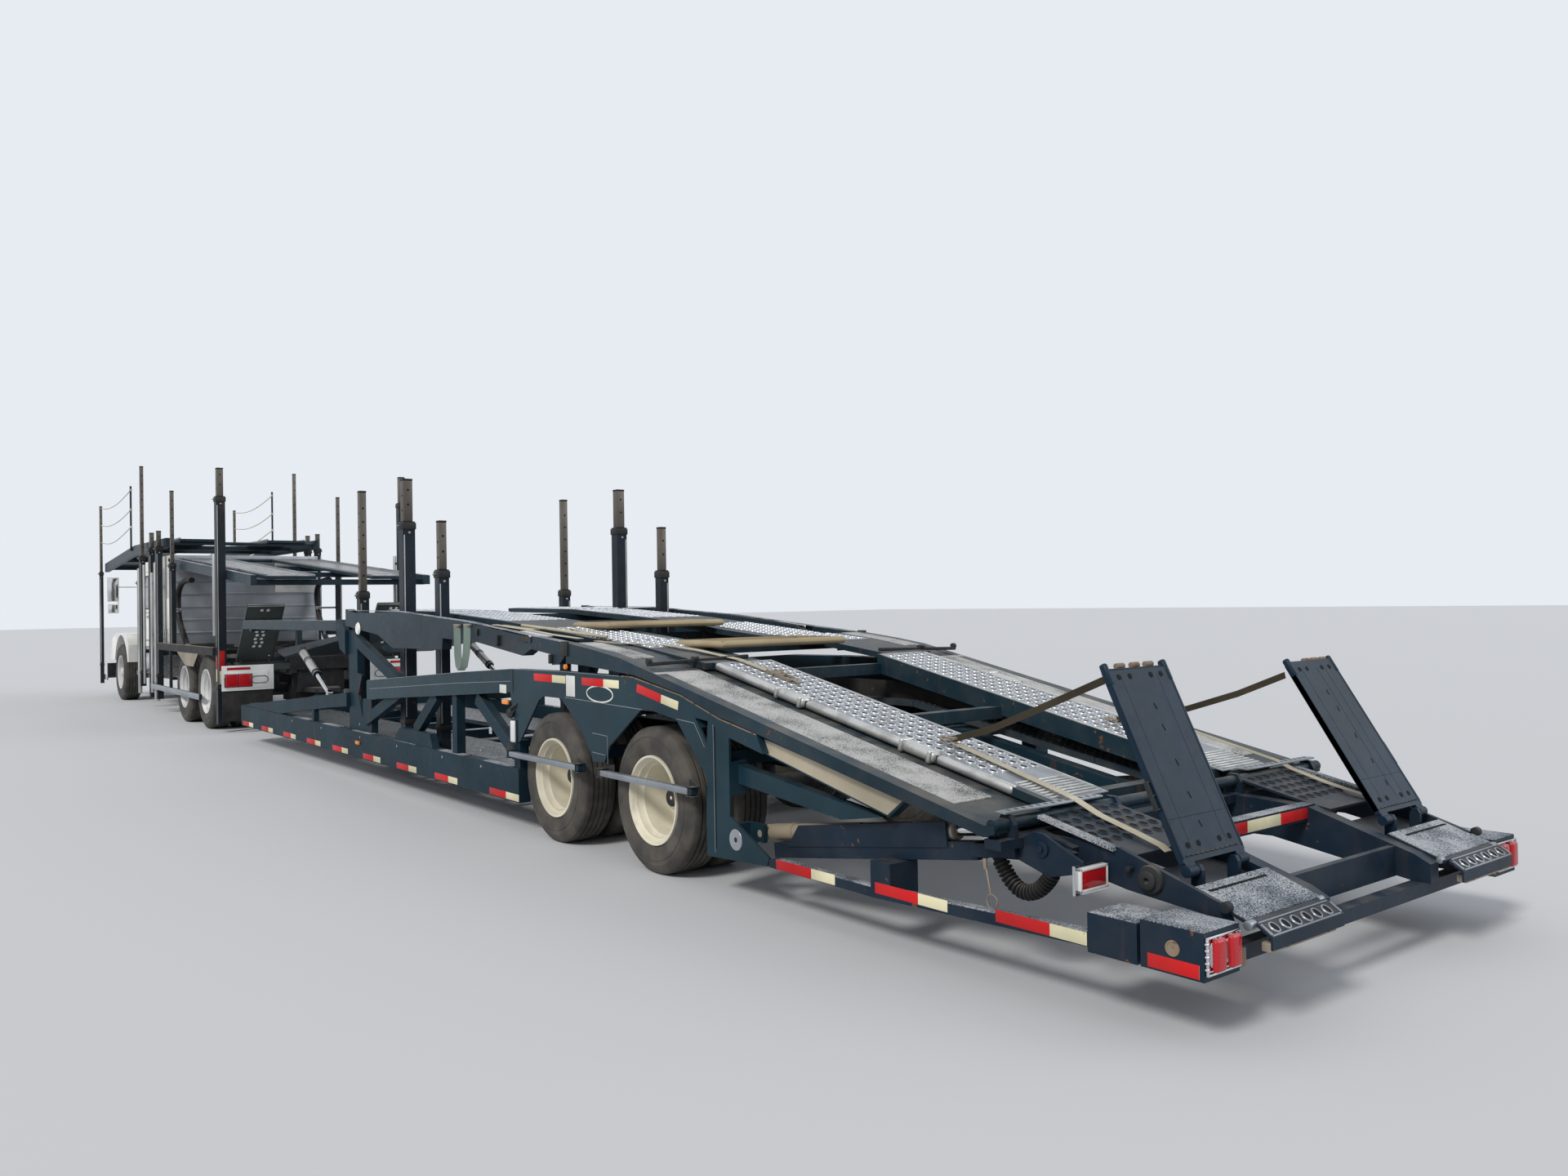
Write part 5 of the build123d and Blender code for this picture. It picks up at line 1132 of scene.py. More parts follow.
amber = [bar(at(d), at(d + 0.10), face_y, 1.312, z, z + 0.034, 0.006)
         for d, z in ((1.86, 0.888), (5.05, 0.330))]
mirrored(amber, "side_marker_lamps", "trailer", amber_lens)
knob = [turned((at(1.83), 0.83), [(face_y, 0.0005), (1.325, 0.006), (1.325, 0.024), (1.315, 0.034),
                                  (face_y, 0.036)], 24),
        round_bar((at(1.77), 1.290, 0.875), (at(1.80), 1.318, 0.80), 0.010, 10),
        round_bar((at(1.74), 1.290, 0.90), (at(1.80), 1.312, 0.865), 0.013, 10)]
mirrored(knob, "side_plug_sockets", "trailer", dark_panel)
lamp = soften(bar(at(1.750), at(1.815), face_y, 1.318, 0.628, 0.782, 0), 0.028, 5)
mirrored(lamp, "side_work_lamps", "trailer", clear_lens)
lamp_ring = soften(bar(at(1.742), at(1.823), face_y, 1.304, 0.620, 0.790, 0), 0.030, 5)
mirrored(lamp_ring, "side_work_lamp_rings", "trailer", dark_panel)
sleeves = [bar(at(a), at(b), 1.3055, 1.3425, 0.5315, 0.5685, 0.003)
           for a, b in ((0.80, 1.785), (-0.49, 0.49))]
mirrored(sleeves, "guard_bar_sleeves", "trailer", galvanised)
brackets = []
for d, reach in ((1.765, 0.075), (0.765, 0.075), (0.455, 0.075), (-0.545, 0.075)):
    brackets.append(bar(at(d), at(d + reach), 1.296, 1.346, 0.5745, 0.5785, 0.001))
    brackets.append(bar(at(d), at(d + reach), 1.296, 1.346, 0.5215, 0.5255, 0.001))
    brackets.append(bar(at(d + reach / 2 - 0.003), at(d + reach / 2 + 0.003), 1.296, 1.346, 0.5215, 0.5785,
                        0.001))
for d0, d1 in ((1.90, 1.765), (0.86, 0.765), (0.38, 0.530), (-0.45, -0.545)):
    brackets.append(outline_plate([(at(d0), 0.610), (at(d1), 0.580), (at(d1), 0.5215), (at(d0), 0.545)],
                                  1.300, 0.005, 0))
mirrored(brackets, "guard_bar_brackets", "trailer", hub_dark)
guard_round = turned((at(-0.88), 0.335), [(face_y, 0.0005), (1.2965, 0.055), (face_y, 0.057)], 28)
mirrored(guard_round, "guard_plate_marks", "trailer", silver_wall)
mesh_steps = [skin(((at(d), 0.446), (at(d - 0.50), 0.446)), at(d), at(d - 0.50), 1.222, 1.290, 0.002, 0.003)
              for d in (9.2, 8.2, 7.2, 6.2, 5.3, 4.2, 3.2, 2.35)]
mirrored(mesh_steps, "sill_dusty_tops", "trailer", tail_grit)

# Upper deck: raised-hole planks, rail fittings, drip trays, straps with a ratchet, a rope, a hanging strap
for body, front, rear, count, start in (("upper_deck", 2.05, 1.045, 14, 2.005),
                                        ("rear_deck", 0.985, 0.53, 6, 0.945)):
    line = upper_line if body == "upper_deck" else joint_line
    plate = skin(line, at(front), at(rear), 0.452, 0.943, 0.003, 0.004)
    mirrored(plate, f"{body}_upper_planks", body, track_metal)
    slope = Vector((at(rear) - at(front), 0, on_line(line, at(rear)) - on_line(line, at(front)))).normalized()
    rows = eyelets((at(start), 0.500, on_line(line, at(start)) + 0.002), slope, across, (count, 6),
                   (0.0705, 0.0795), 0.024, 0.007, 8, 1.1)
    mirrored(rows, f"{body}_upper_plank_holes", body)
for front, rear, count in ((5.35, 4.10, 17), (4.02, 2.68, 18)):
    slope = Vector((at(rear) - at(front), 0,
                    on_line(upper_line, at(rear)) - on_line(upper_line, at(front)))).normalized()
    plate = skin(upper_line, at(front), at(rear), 0.372, 0.925, 0.003, 0.004)
    mirrored(plate, f"upper_planks_{count}", "upper_deck", track_metal)
    rows = eyelets((at(front - 0.05), 0.415, on_line(upper_line, at(front - 0.05)) + 0.002), slope, across,
                   (count, 7), (0.073, 0.078), 0.022, 0.006, 6, 1.1)
    mirrored(rows, f"upper_plank_holes_{count}", "upper_deck")
rail_top = skin(((at(5.45), 1.567), (at(4.06), 1.552), (at(2.63), 1.472), (at(1.06), 1.342)), at(5.40),
                at(1.08), 1.232, 1.288, 0.004, 0.004)
mirrored(rail_top, "upper_rail_dusty_tops", "upper_deck", tail_grit)
rail_parts = [bar(at(2.385), at(2.415), face_y, 1.305, 1.370, 1.420, 0.002),
              bar(at(2.015), at(2.045), face_y, 1.312, 1.300, 1.378, 0.003),
              bar(at(1.185), at(1.215), face_y, 1.315, 1.200, 1.262, 0.003),
              leaning((at(1.51), 1.2955, 1.352), (at(1.71), 1.2955, 1.368), 0.003, 0.040, 0)]
mirrored(rail_parts, "upper_rail_fittings", "upper_deck", hub_dark)
joint_block = bar(at(0.965), at(1.055), 1.2885, 1.306, 1.255, 1.352, 0.004)
mirrored(joint_block, "rear_rail_joint_blocks", "rear_deck", hub_dark)
round_lamp = turned((at(1.00), 1.185), [(face_y, 0.0005), (1.309, 0.003), (1.307, 0.016), (face_y, 0.020)],
                    24)
mirrored(round_lamp, "upper_round_lamps", "trailer", amber_lens)
tray_rows = (("upper_tray", "upper_deck", 1.90, 1.408), ("rear_tray", "rear_deck", 0.45, 1.296))
for name, body, d, z in tray_rows:
    dish = bar(at(d - 0.275), at(d + 0.275), -0.42, 0.63, z, z + 0.046, 0)
    soften(dish, 0.040, 4, 60)
    pick(dish, lambda c, n: n.z > 0.95)
    bpy.ops.mesh.inset(thickness=0.022, depth=0)
    extrude(0, 0, -0.030)
    take(dish)
    smooth()
    finished(dish, f"{name}_drip_tray", body, tan_tray)
near_front_route = ((2.21, 1.24, 1.452), (1.75, 1.20, 1.418), (1.45, 1.17, 1.388), (1.12, 1.12, 1.362))
near_rear_route = ((0.985, 1.075, 1.348), (0.87, 1.01, 1.334), (0.67, 0.90, 1.326), (0.57, 0.79, 1.318),
                   (0.30, 0.73, 1.290), (-0.10, 0.70, 1.242), (-0.40, 0.69, 1.180))
far_front_route = ((2.19, 1.19, 1.448), (1.79, 1.12, 1.418), (1.91, 0.89, 1.424), (1.71, 0.84, 1.410),
                   (1.26, 0.91, 1.372), (1.05, 0.94, 1.352))
for name, body, points in (("near_strap_front", "upper_deck", near_front_route),
                           ("near_strap_rear", "rear_deck", near_rear_route),
                           ("far_strap_front", "upper_deck", far_front_route)):
    finished(ribbon(route(points), 0.045, 0.004), name, body, cream_web)
rope_route = ((2.05, 1.10, 1.444), (1.60, 1.05, 1.414), (1.30, 1.02, 1.389), (1.05, 0.96, 1.369))
finished(hose(route(rope_route), 0.012, 2), "upper_deck_rope", "upper_deck", cream_web)
hanging_route = ((2.735, 1.312, 1.440), (2.725, 1.316, 1.330), (2.705, 1.322, 1.210), (2.665, 1.330, 1.130),
                 (2.620, 1.334, 1.105), (2.575, 1.330, 1.130), (2.548, 1.322, 1.230), (2.540, 1.316, 1.340),
                 (2.545, 1.312, 1.445))
hanging_web = ribbon(route(hanging_route), 0.062, 0.004, (0.55, 0.35, 0))
finished(hanging_web, "hanging_side_strap", "upper_deck", green_web)
web_loops = [bar(at(2.50), at(2.60), face_y, 1.322, 1.440, 1.458, 0.004),
             bar(at(2.69), at(2.79), face_y, 1.322, 1.436, 1.454, 0.004)]
finished(web_loops, "hanging_strap_loops", "upper_deck", bare_steel)
ratchet = [bar(at(-0.52), at(-0.40), 0.655, 0.715, 1.150, 1.166, 0.004),
           leaning((at(-0.40), 0.655, 1.178), (at(-0.62), 0.655, 1.128), 0.006, 0.034, 0.001),
           leaning((at(-0.40), 0.715, 1.178), (at(-0.62), 0.715, 1.128), 0.006, 0.034, 0.001),
           round_bar((at(-0.47), 0.645, 1.168), (at(-0.47), 0.728, 1.168), 0.014, 14),
           round_bar((at(-0.62), 0.655, 1.135), (at(-0.62), 0.720, 1.135), 0.010, 12),
           round_bar((at(-0.62), 0.688, 1.135), (at(-0.70), 0.700, 1.120), 0.008, 10)]
finished(ratchet, "deck_strap_ratchet", "rear_deck", bare_steel)

# Posts: collars, locking pins, top caps, inner tubes, worn corners and rows of pin holes
# columns: place along, place across, collar height, top height, outer size, inner size
post_rows = {
    "trailer": ((at(5.57), 1.080, 1.750, 2.720, 0.090, 0.062),
                (at(4.39), 1.080, 2.350, 2.730, 0.110, 0.080),
                (at(3.60), 1.080, 1.900, 2.310, 0.090, 0.062)),
    "tractor": ((aft(-0.700), 1.200, 3.070, 3.440, 0.110, 0.076),
                (aft(2.180), 1.215, 2.300, 3.380, 0.080, 0.048),
                (fore(-3.650), 1.205, 2.600, 2.840, 0.090, 0.060),
                (fore(-3.100), 1.205, 2.600, 2.840, 0.090, 0.060),
                (fore(-2.320), 1.210, 2.500, 3.980, 0.080, 0.050),
                (fore(-2.050), 1.210, 2.100, 2.260, 0.060, 0.044),
                (fore(1.870), 1.200, 2.360, 3.620, 0.060, 0.044)),
}
for body, rows in post_rows.items():
    collars, pins, holes, worn_faces, sleeves = [], [], [], [], []
    for x, y, collar, top, size, inner in rows:
        half, thin = size / 2, inner / 2
        foremost = min(x + half + 0.008, cad_box[1][0])
        collars.append(bar(x - half - 0.008, foremost, y - half - 0.008, y + half + 0.008, collar - 0.07,
                           collar - 0.012, 0.003))
        collars.append(bar(x - half - 0.006, foremost, y - half - 0.006, y + half + 0.006, 0.56, 0.60, 0.003))
        collars.append(bar(x - thin - 0.003, x + thin + 0.003, y - thin - 0.003, y + thin + 0.003,
                           top - 0.016, top - 0.0005, 0.003))
        pins.append(round_bar((x, y + half, collar - 0.041), (x, y + half + 0.034, collar - 0.041), 0.009,
                              10))
        pins.append(round_bar((x - half - 0.012, y, collar - 0.10), (x - half + 0.002, y, collar - 0.10),
                              0.012, 6))
        sleeves.append(bar(x - thin - 0.0008, x + thin + 0.0008, y - thin - 0.0008, y + thin + 0.0008,
                           collar + 0.004, top - 0.018, 0.002))
        count = int((top - collar - 0.1) / 0.13)
        for n in range(count):
            z = collar + 0.10 + 0.13 * n
            holes.append(round_bar((x, y + thin - 0.001, z), (x, y + thin + 0.0018, z), 0.010, 10, 0))
            holes.append(round_bar((x - thin - 0.0018, y, z + 0.05), (x - thin + 0.001, y, z + 0.05), 0.010,
                                   10, 0))
        worn_faces.append(leaning((x - half - 0.001, y + half - 0.012, 0.62),
                                  (x - half - 0.001, y + half - 0.012, collar - 0.12), 0.010, 0.002, 0))
    for part, name, finish in ((collars, "collars", hub_dark), (pins, "lock_pins", galvanised),
                               (holes, "pin_holes", hole_dark), (worn_faces, "worn_corners", silver_post),
                               (sleeves, "inner_tubes", tube_steel)):
        mirrored(part, f"{body}_post_{name}", body, finish)
for color, low, high, finish in (("red", 0.80, 1.06, red_tape), ("white", 0.63, 0.80, white_tape)):
    tape = bar(aft(-0.758), aft(-0.7548), 1.168, 1.232, low, high, 0.001)
    mirrored(tape, f"rear_post_back_{color}", "tractor", finish)

# Lift cylinders, front deck plates, sill bolts and pivot caps
base, head = Vector((at(7.86), 1.0, 1.120)), Vector((at(7.31), 1.0, 0.874))
sleeve = round_bar(base.lerp(head, 0.06), base.lerp(head, 0.985), 0.0440, 32, 0.003)
mirrored(sleeve, "lift_barrel_sleeves", "lift_barrels", silver_post)
rings = [round_bar(base.lerp(head, s), base.lerp(head, s + w), 0.0475, 32, 0.002)
         for s, w in ((0.02, 0.06), (0.40, 0.035), (0.47, 0.02), (0.90, 0.07))]
mirrored(rings, "lift_barrel_rings", "lift_barrels", hub_dark)
ramp_line = ((at(9.15), 1.100), (at(6.26), 1.352))
mirrored(skin(ramp_line, at(9.12), at(6.29), 0.368, 0.898, 0.003, 0.004), "front_ramp_treads", "front_deck",
         dark_holed_track)
arm_top = skin(((at(9.48), 1.455), (at(5.64), 1.470)), at(9.40), at(5.72), 1.168, 1.228, 0.003, 0.004)
mirrored(arm_top, "front_arm_tops", "front_deck", tail_grit)
bolts = []
for d, z in ((2.36, 0.50), (2.36, 0.62), (3.10, 0.50), (4.10, 0.50), (5.05, 0.50), (5.05, 0.62),
             (6.20, 0.50), (7.20, 0.50)):
    bolts.append(round_bar((at(d), 1.2940, z - 0.10), (at(d), 1.3010, z - 0.10), 0.012, 6, 0.002))
mirrored(bolts, "sill_bolts", "trailer", galvanised)
pivot = turned((at(5.07), 1.40), [(face_y, 0.0005), (1.3060, 0.016), (1.3060, 0.030), (1.3000, 0.034),
                                  (1.3000, 0.046), (1.3050, 0.050), (face_y, 0.058)], 32)
mirrored(pivot, "deck_pivot_caps", "trailer", white_board)

# Tractor tail: white lamp boards, lamp clusters, mudflaps, and pressed flap plates with their holes
board = bar(aft(-0.983), aft(-0.9795), 0.628, 1.262, 0.548, 0.872, 0.001)
box = bar(aft(-0.9905), aft(-0.982), 0.700, 1.215, 0.580, 0.790, 0.004)
mirrored([board, box], "tractor_lamp_boards", "tractor", white_board)
red = [bar(aft(-0.986), aft(-0.982), 0.915, 1.198, 0.815, 0.848, 0.002)]
red += [soften(bar(aft(-1.004), aft(-0.985), y, y + 0.155, 0.600, 0.755, 0), 0.014, 3)
        for y in (0.902, 1.062)]
mirrored(red, "tractor_red_lamps", "tractor", red_lens)
dark_rims = [soften(bar(aft(-0.994), aft(-0.989), 0.893, 1.226, 0.592, 0.763, 0), 0.012, 3),
             bar(aft(-0.995), aft(-0.9895), 0.745, 0.858, 0.632, 0.640, 0.002),
             bar(aft(-0.995), aft(-0.9895), 0.745, 0.858, 0.722, 0.730, 0.002)]
for y, side in ((0.745, -1), (0.858, 1)):
    dark_rims += ring(8, lambda a: (aft(-0.992), y + side * 0.045 * sin(a), 0.681 + 0.045 * cos(a)),
                      lambda a, b: leaning(a, b, 0.006, 0.008, 0), pi)
mirrored(dark_rims, "tractor_lamp_rims", "tractor", dark_panel)
flaps = bar(aft(-0.9720), aft(-0.9620), 0.638, 1.252, 0.158, 0.562, 0.002)
mirrored(flaps, "tractor_mudflaps", "tractor", mudflap)
foot, top = Vector((aft(-0.820), 0, 0.915)), Vector((aft(-1.420), 0, 1.650))
rise = (top - foot).normalized()
rear_way = Vector((-rise.z, 0, rise.x))


def on_plate(s, y, lift=0.0):
    """A point of the tractor's flap plate: along it, across, and off its rear face."""
    return tuple(foot + rise * s + Vector((0, y, 0)) + rear_way * (0.0125 + lift))


edges = [leaning(on_plate(0.02, y, -0.012), on_plate(0.925, y, -0.012), 0.008, 0.044, 0.002)
         for y in (0.602, 1.048)]
edges += [leaning(on_plate(0.705, 0.606, 0.006), on_plate(0.705, 1.044, 0.006), 0.030, 0.022, 0.004)]
mirrored(edges, "tractor_flap_ribs", "tractor", plate_paint)
rim = leaning(on_plate(0.936, 0.606, -0.010), on_plate(0.936, 1.044, -0.010), 0.020, 0.030, 0.004)
mirrored(rim, "tractor_flap_top_edges", "tractor", silver_post)
marks = [round_bar(on_plate(0.865, y, -0.002), on_plate(0.865, y, 0.0012), 0.021, 16, 0)
         for y in (0.79, 0.865)]
marks += [round_bar(on_plate(0.575 - 0.062 * n, y + (0.014 if n % 2 else 0), -0.002),
                    on_plate(0.575 - 0.062 * n, y + (0.014 if n % 2 else 0), 0.0012), 0.021, 16, 0)
          for n in range(6) for y in (0.785, 0.860)]
marks += [round_bar(on_plate(0.10, y, -0.002), on_plate(0.10, y, 0.0012), 0.010, 10, 0) for y in (0.66, 0.99)]
mirrored(marks, "tractor_flap_holes", "tractor", chrome)

# Drive guards: worn top, tan hanging plates and pale lower bars
mirrored(bar(aft(-0.64), aft(2.97), 1.238, 1.2885, 1.0995, 1.1035, 0.001), "drive_guard_tops", "tractor",
         rust_edge)
hanging = outline_plate([(aft(0.19), 1.000), (aft(1.52), 1.000), (aft(0.975), 0.819), (aft(0.485), 0.819)],
                        1.2925, 0.0035, 0)
mirrored(hanging, "drive_guard_plates", "tractor", bare_steel)
mirrored(bar(aft(0.16), aft(3.47), 1.2885, 1.2925, 0.3785, 0.4565, 0.001), "drive_guard_bars", "tractor",
         galvanised)

# Sleeper: silver ribbed rear wall, blank panel, seams and hatches; the tracks of the tractor's two decks
wall = [bar(fore(-4.0035), fore(-3.9995), -1.094, 1.094, 1.004, 2.446, 0.001)]
wall += [bar(fore(-4.0165), fore(-4.0), -1.044, 1.044, z - 0.015, z + 0.015, 0.004)
         for z in (1.25, 1.45, 1.65, 1.85, 2.05, 2.25)]
wall += [bar(fore(-4.0105), fore(-4.0), side * 1.062, side * 1.092, 1.01, 2.44, 0.004) for side in (1, -1)]
finished(wall, "sleeper_rear_wall", "tractor", silver_wall)
panel = [bar(fore(-4.022), fore(-4.002), -1.085, -0.430, 1.860, 2.330, 0.006)]
panel += [bar(fore(-4.026), fore(-4.020), -0.960, -0.560, z, z + 0.012, 0.003) for z in (1.950, 2.230)]
panel += [bar(fore(-4.026), fore(-4.020), y, y + 0.012, 1.950, 2.242, 0.003) for y in (-0.972, -0.560)]
finished(panel, "sleeper_rear_panel", "tractor", white_board)
seams = [leaning((fore(a), 1.1005, b), (fore(c), 1.1005, d), 0.003, 0.006, 0)
         for a, b, c, d in ((-3.98, 1.22, -2.33, 1.22), (-3.20, 1.24, -3.20, 2.42),
                            (-3.98, 1.10, -2.33, 1.10), (-2.33, 1.02, -2.33, 2.43))]
mirrored(seams, "sleeper_seams", "tractor", silver_wall)
hatch = soften(bar(fore(-3.88), fore(-3.28), 1.0985, 1.106, 1.30, 1.78, 0), 0.004, 2)
latches = bar(fore(-3.40), fore(-3.33), 1.104, 1.112, 1.52, 1.56, 0.003)
mirrored(hatch, "sleeper_hatches", "tractor", white_cab)
mirrored(latches, "sleeper_latches", "tractor", chrome)
tractor_line = ((fore(-4.05), 2.390), (aft(-1.92), 2.000))
head_line = ((fore(1.78), 2.500), (fore(-1.24), 2.710), (fore(-3.88), 2.710))
for name, body, line, front, rear in (("tractor", "tractor_deck", tractor_line, fore(-4.08), aft(-1.89)),
                                      ("head", "head_deck", head_line, fore(1.74), fore(-3.84))):
    mirrored(skin(line, front, rear, 0.372, 0.925, 0.003, 0.004), f"{name}_deck_treads", body, holed_track)
    curbs = [skin(line, front, rear, y, y + 0.018, 0.022, 0.026) for y in (0.352, 0.926)]
    mirrored(curbs, f"{name}_deck_curbs", body, silver_wall)
    if name == "tractor":
        edge = skin(((fore(-4.04), 2.400), (aft(-1.92), 2.010)), front, rear, 1.066, 1.126, 0.003, 0.004)
        mirrored(edge, "tractor_deck_side_tops", body, tail_grit)

# Silver upright tubes, the clipped hoses behind the sleeper and the safety ropes above the cab
# columns: x, across, lower end, upper end, radius
tube_places = ((fore(-3.50), 1.215, 0.18, 2.35, 0.040), (fore(-3.24), 1.235, 0.30, 2.20, 0.022),
               (fore(-2.20), 1.235, 0.24, 2.30, 0.030), (fore(-2.42), 1.205, 0.40, 2.35, 0.018),
               (aft(-0.42), 1.205, 1.25, 2.33, 0.030))
tubes = [round_bar((x, y, low), (x, y, high), radius, 20, 0.004) for x, y, low, high, radius in tube_places]
mirrored(tubes, "silver_upright_tubes", "tractor", silver_post)
clips = [bar(fore(-3.60), fore(-3.15), 1.175, 1.195, z, z + 0.035, 0.003) for z in (0.42, 1.20, 2.02)]
clips += [bar(fore(-2.36), fore(-2.18), 1.196, 1.216, z, z + 0.035, 0.003) for z in (0.55, 1.30, 2.05)]
clips += [bar(aft(-0.66), aft(-0.40), 1.190, 1.206, z, z + 0.035, 0.003) for z in (1.30, 2.20)]
mirrored(clips, "tube_clips", "tractor", hub_dark)
thick_route = ((13.36, 1.00, 2.04), (13.80, 1.02, 2.06), (14.16, 1.03, 1.90), (14.14, 1.04, 1.62),
               (13.98, 1.04, 1.35), (13.55, 1.02, 1.03))
mirrored(hose(route(thick_route), 0.042, 4), "thick_hoses", "tractor", rubber_hose)
hold = [leaning((aft(2.20), 1.17, 1.60), (at(14.07), 1.06, 1.60), 0.020, 0.030, 0.003),
        round_bar((at(14.085), 1.04, 1.575), (at(14.075), 1.04, 1.625), 0.050, 20, 0.003),
        round_bar((at(13.50), 1.02, 1.00), (at(13.58), 1.02, 1.055), 0.050, 20, 0.003)]
mirrored(hold, "thick_hose_clips", "tractor", galvanised)
ropes = []
for z_front, z_rear in ((3.58, 3.69), (3.25, 3.35), (2.92, 3.05)):
    ropes.append(hose([(fore(1.87), 1.200, z_front), (fore(1.20), 1.190, z_front - 0.07),
                       (fore(0.40), 1.185, z_front - 0.06), (fore(-0.40), 1.175, z_rear - 0.10),
                       (fore(-1.07), 1.165, z_rear)], 0.007, 2))
    ropes.append(round_bar((fore(-1.07), 1.165, z_rear - 0.02), (fore(-1.07), 1.165, z_rear + 0.02), 0.021,
                           12))
mirrored(ropes, "safety_ropes", "head_deck", cream_web)

# Cab: wipers, door grips and seams, mirror glass, seats, tank straps and steps, radiator mesh and lamps
wipers = [leaning((fore(-0.872), y, 1.730), (fore(-1.010), y - 0.32, 1.985), 0.014, 0.012, 0.003)
          for y in (0.62, -0.08)]
wipers += [leaning((fore(-0.875), -0.90, 1.700), (fore(-0.875), 0.90, 1.700), 0.020, 0.024, 0.006)]
finished(wipers, "wipers", "tractor", hub_dark)
for hand, side in (("left", 1), ("right", -1)):
    y = side * 1.0305
    handle = soften(bar(fore(-1.804), fore(-1.676), side * 1.030, side * 1.0545, 1.477, 1.513, 0), 0.008, 3)
    finished(handle, f"door_grip_{hand}", f"door_{hand}", chrome)
    seams = [leaning((fore(a), y, b), (fore(c), y, d), 0.003, 0.008, 0) for a, b, c, d in (
        (-1.85, 1.10, -0.95, 1.10), (-1.85, 1.56, -0.95, 1.56))]
    seams += [leaning((fore(a), y, b), (fore(c), y, d), 0.005, 0.020, 0.002)
              for a, b, c, d in ((-1.79, 1.630, -0.99, 1.630), (-1.79, 1.63, -1.79, 2.18),
                                 (-1.79, 2.18, -1.335, 2.18), (-1.335, 2.18, -0.99, 1.63))]
    finished(seams, f"door_seams_{hand}", f"door_{hand}", cab_trim)
mirror = [bar(fore(-0.8935), fore(-0.8895), 1.345, 1.495, 1.775, 2.165, 0.001),
          bar(fore(-0.8835), fore(-0.8795), 1.355, 1.485, 1.575, 1.705, 0.001)]
mirrored(mirror, "mirror_glass", "tractor", chrome)
seats = []
for y in (-0.48, 0.48):
    seats.append(soften(bar(fore(-1.86), fore(-1.34), y - 0.245, y + 0.245, 1.36, 1.50, 0), 0.045, 4))
    seats.append(soften(bar(fore(-1.855), fore(-1.78), y - 0.235, y + 0.235, 1.46, 1.98, 0), 0.030, 4))
    seats.append(soften(bar(fore(-1.90), fore(-1.79), y - 0.13, y + 0.13, 2.02, 2.16, 0), 0.035, 4))
finished(seats, "seat_cushions", "tractor", hub_dark)
straps = [round_bar((fore(n), 0.80, 0.715), (fore(n) + 0.045, 0.80, 0.715), 0.2645, 44, 0.003)
          for n in (-2.12, -1.62, -1.12)]
caps = round_bar((fore(-1.38), 0.93, 0.925), (fore(-1.38), 0.965, 0.985), 0.045, 20, 0.004)
mirrored(straps, "tank_straps", "tractor", chrome)
mirrored(caps, "tank_caps", "tractor", chrome)
treads = [bar(fore(-2.10), fore(-1.10), 1.058, 1.102, 0.5585, 0.5645, 0.002)]
treads += [bar(fore(-2.08 + 0.12 * n), fore(-2.05 + 0.12 * n), 1.060, 1.100, 0.564, 0.570, 0.001)
           for n in range(9)]
mirrored(treads, "tank_step_treads", "tractor", galvanised)
radiator = bar(fore(1.245), fore(1.262), -0.395, 0.395, 0.795, 1.385, 0.002)
finished(radiator, "radiator_mesh", "hood", dark_holed_track)
crease = [leaning((fore(-0.80), y, 1.689), (fore(1.28), y * 0.66, 1.474), 0.016, 0.010, 0.004)
          for y in (0.0, 0.52, -0.52)]
finished(crease, "bonnet_creases", "hood", white_cab)
lamp = leaning((fore(1.164), 0.795, 0.905), (fore(1.164), 1.065, 0.905), 0.016, 0.140, 0.006)
mirrored(lamp, "headlamp_lenses", "hood", clear_lens)
turn_lamp = leaning((fore(1.172), 0.800, 0.848), (fore(1.172), 1.060, 0.848), 0.012, 0.022, 0.004)
mirrored(turn_lamp, "turn_lamps", "hood", amber_lens)
fog = leaning((fore(1.552), 0.52, 0.48), (fore(1.552), 0.72, 0.48), 0.006, 0.10, 0.003)
mirrored(fog, "fog_lamps", "tractor", clear_lens)

# Camera, floor and light

# the camera that was solved from the photo: its place, its turn, and its lens in pixels of the photo
camera_place = (-14.262, 4.961, 1.595)
yaw, pitch, roll = radians(37.913), radians(0.602), radians(-0.923)
photo_width, focal_length = 1920, 1462.4
sensor_width = 36
ahead = Vector((cos(yaw) * cos(pitch), -sin(yaw) * cos(pitch), sin(pitch)))
right = Vector((-sin(yaw), -cos(yaw), 0))
up = right.cross(ahead)
right_rolled = right * cos(roll) + up * sin(roll)
up_rolled = up * cos(roll) - right * sin(roll)
camera = bpy.data.objects.new("camera", bpy.data.cameras.new("camera"))
bpy.context.scene.collection.objects.link(camera)
camera.data.sensor_width = sensor_width
camera.data.lens = focal_length / photo_width * sensor_width
camera.data.clip_end = 400
view = Matrix((right_rolled, up_rolled, -ahead)).transposed().to_4x4()
camera.matrix_world = Matrix.Translation(camera_place) @ view
bpy.context.scene.camera = camera

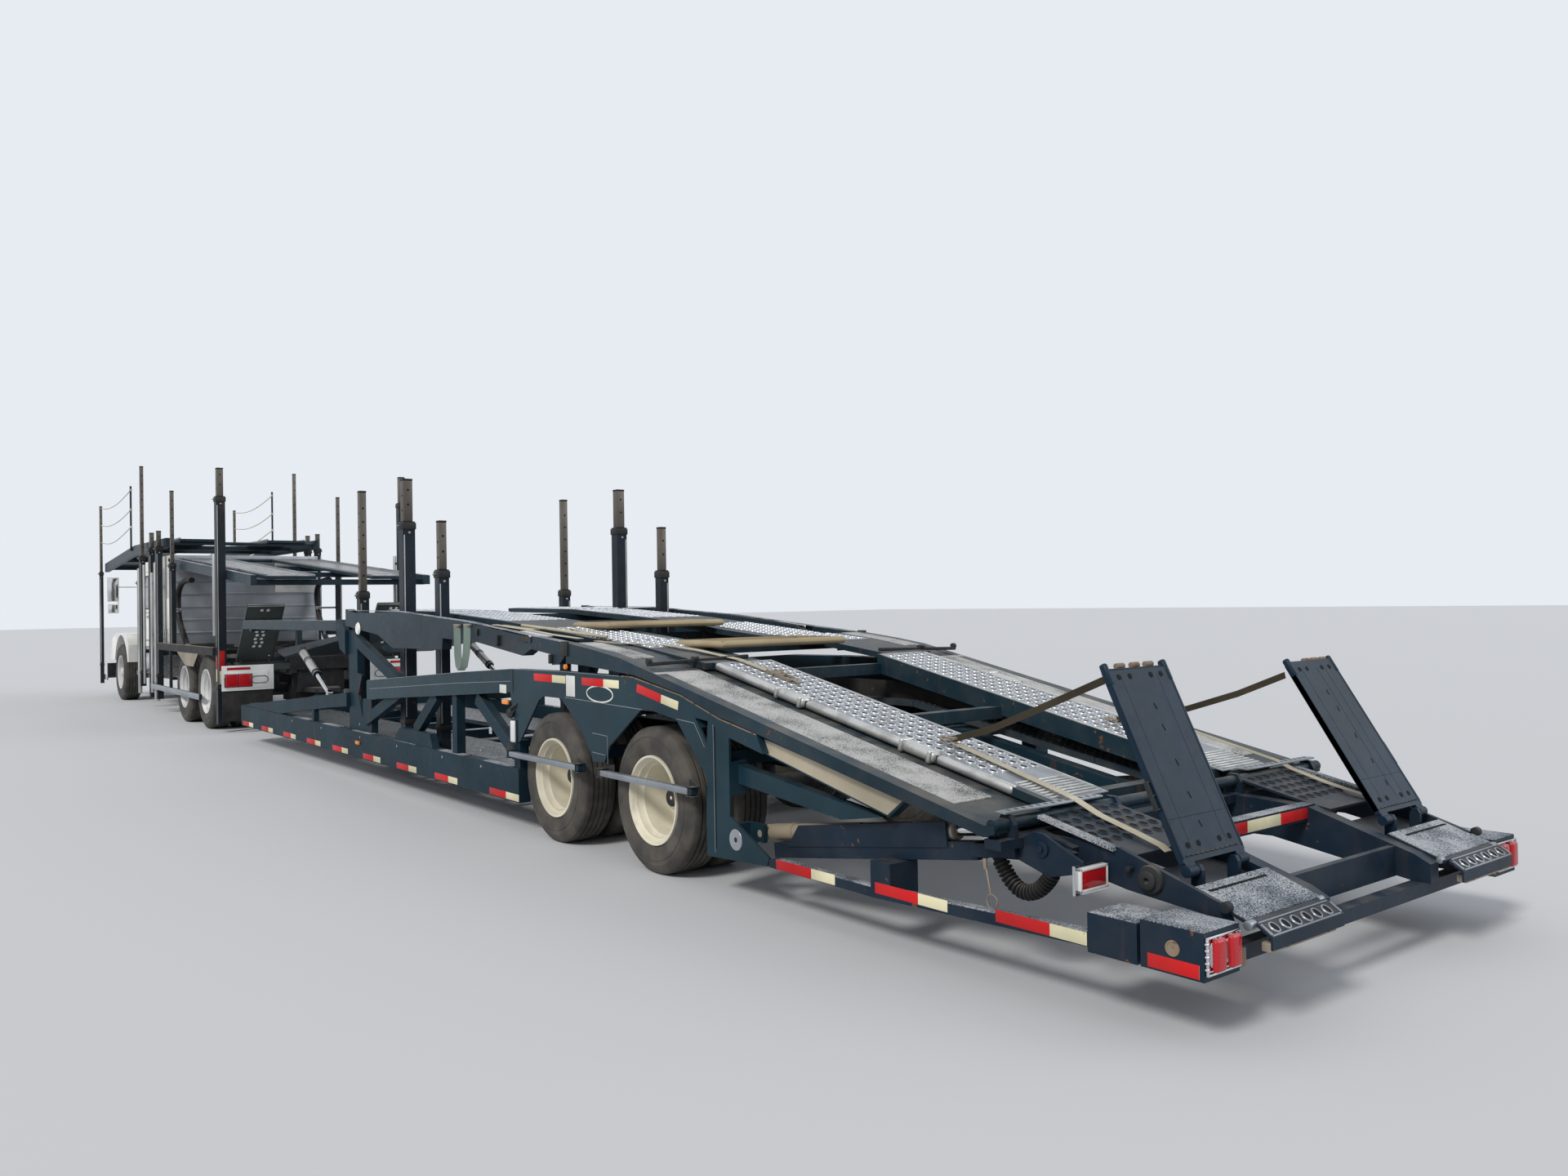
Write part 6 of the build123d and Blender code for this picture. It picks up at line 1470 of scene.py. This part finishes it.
rest()
bpy.ops.mesh.primitive_plane_add(size=240, location=(0, 0, 0))
floor = bpy.context.object
floor.name = "floor"
settle(floor)
floor_finish = bpy.data.materials.new("pale floor")
floor_finish.use_nodes = True
floor_tree = floor_finish.node_tree
floor_shader = floor_tree.nodes["Principled BSDF"]
floor_shader.inputs["Roughness"].default_value = 0.9
floor_shader.inputs["Base Color"].default_value = (0.55, 0.56, 0.58, 1)
floor.data.materials.append(floor_finish)

world = bpy.data.worlds.new("studio")
bpy.context.scene.world = world
world.use_nodes = True
world_tree = world.node_tree
world_tree.nodes.clear()
world_out = world_tree.nodes.new("ShaderNodeOutputWorld")
soft_light = world_tree.nodes.new("ShaderNodeBackground")
soft_light.inputs["Color"].default_value = (0.92, 0.95, 1.0, 1)
soft_light.inputs["Strength"].default_value = 0.55
backdrop = world_tree.nodes.new("ShaderNodeBackground")
backdrop.inputs["Color"].default_value = (0.80, 0.84, 0.89, 1)
backdrop.inputs["Strength"].default_value = 1.0
rays = world_tree.nodes.new("ShaderNodeLightPath")
seen = maths(world_tree, "MAXIMUM", maths(world_tree, "MAXIMUM", rays.outputs["Is Camera Ray"],
             rays.outputs["Is Glossy Ray"]), rays.outputs["Is Transmission Ray"])
either = world_tree.nodes.new("ShaderNodeMixShader")
world_tree.links.new(seen, either.inputs["Fac"])
world_tree.links.new(soft_light.outputs[0], either.inputs[1])
world_tree.links.new(backdrop.outputs[0], either.inputs[2])
world_tree.links.new(either.outputs[0], world_out.inputs["Surface"])


def sun(name, strength, width, turn, color):
    """One sun lamp: its strength, its width and its turn in degrees, and its colour."""
    lamp = bpy.data.objects.new(name, bpy.data.lights.new(name, "SUN"))
    lamp.data.energy = strength
    lamp.data.angle = radians(width)
    lamp.data.color = color
    lamp.rotation_euler = [radians(v) for v in turn]
    bpy.context.scene.collection.objects.link(lamp)


sun("key", 2.1, 14, (48, 0, -160), (1.0, 0.97, 0.92))
sun("fill", 0.6, 40, (62, 0, -40), (0.9, 0.95, 1.0))
bpy.context.scene.view_settings.view_transform = "Standard"
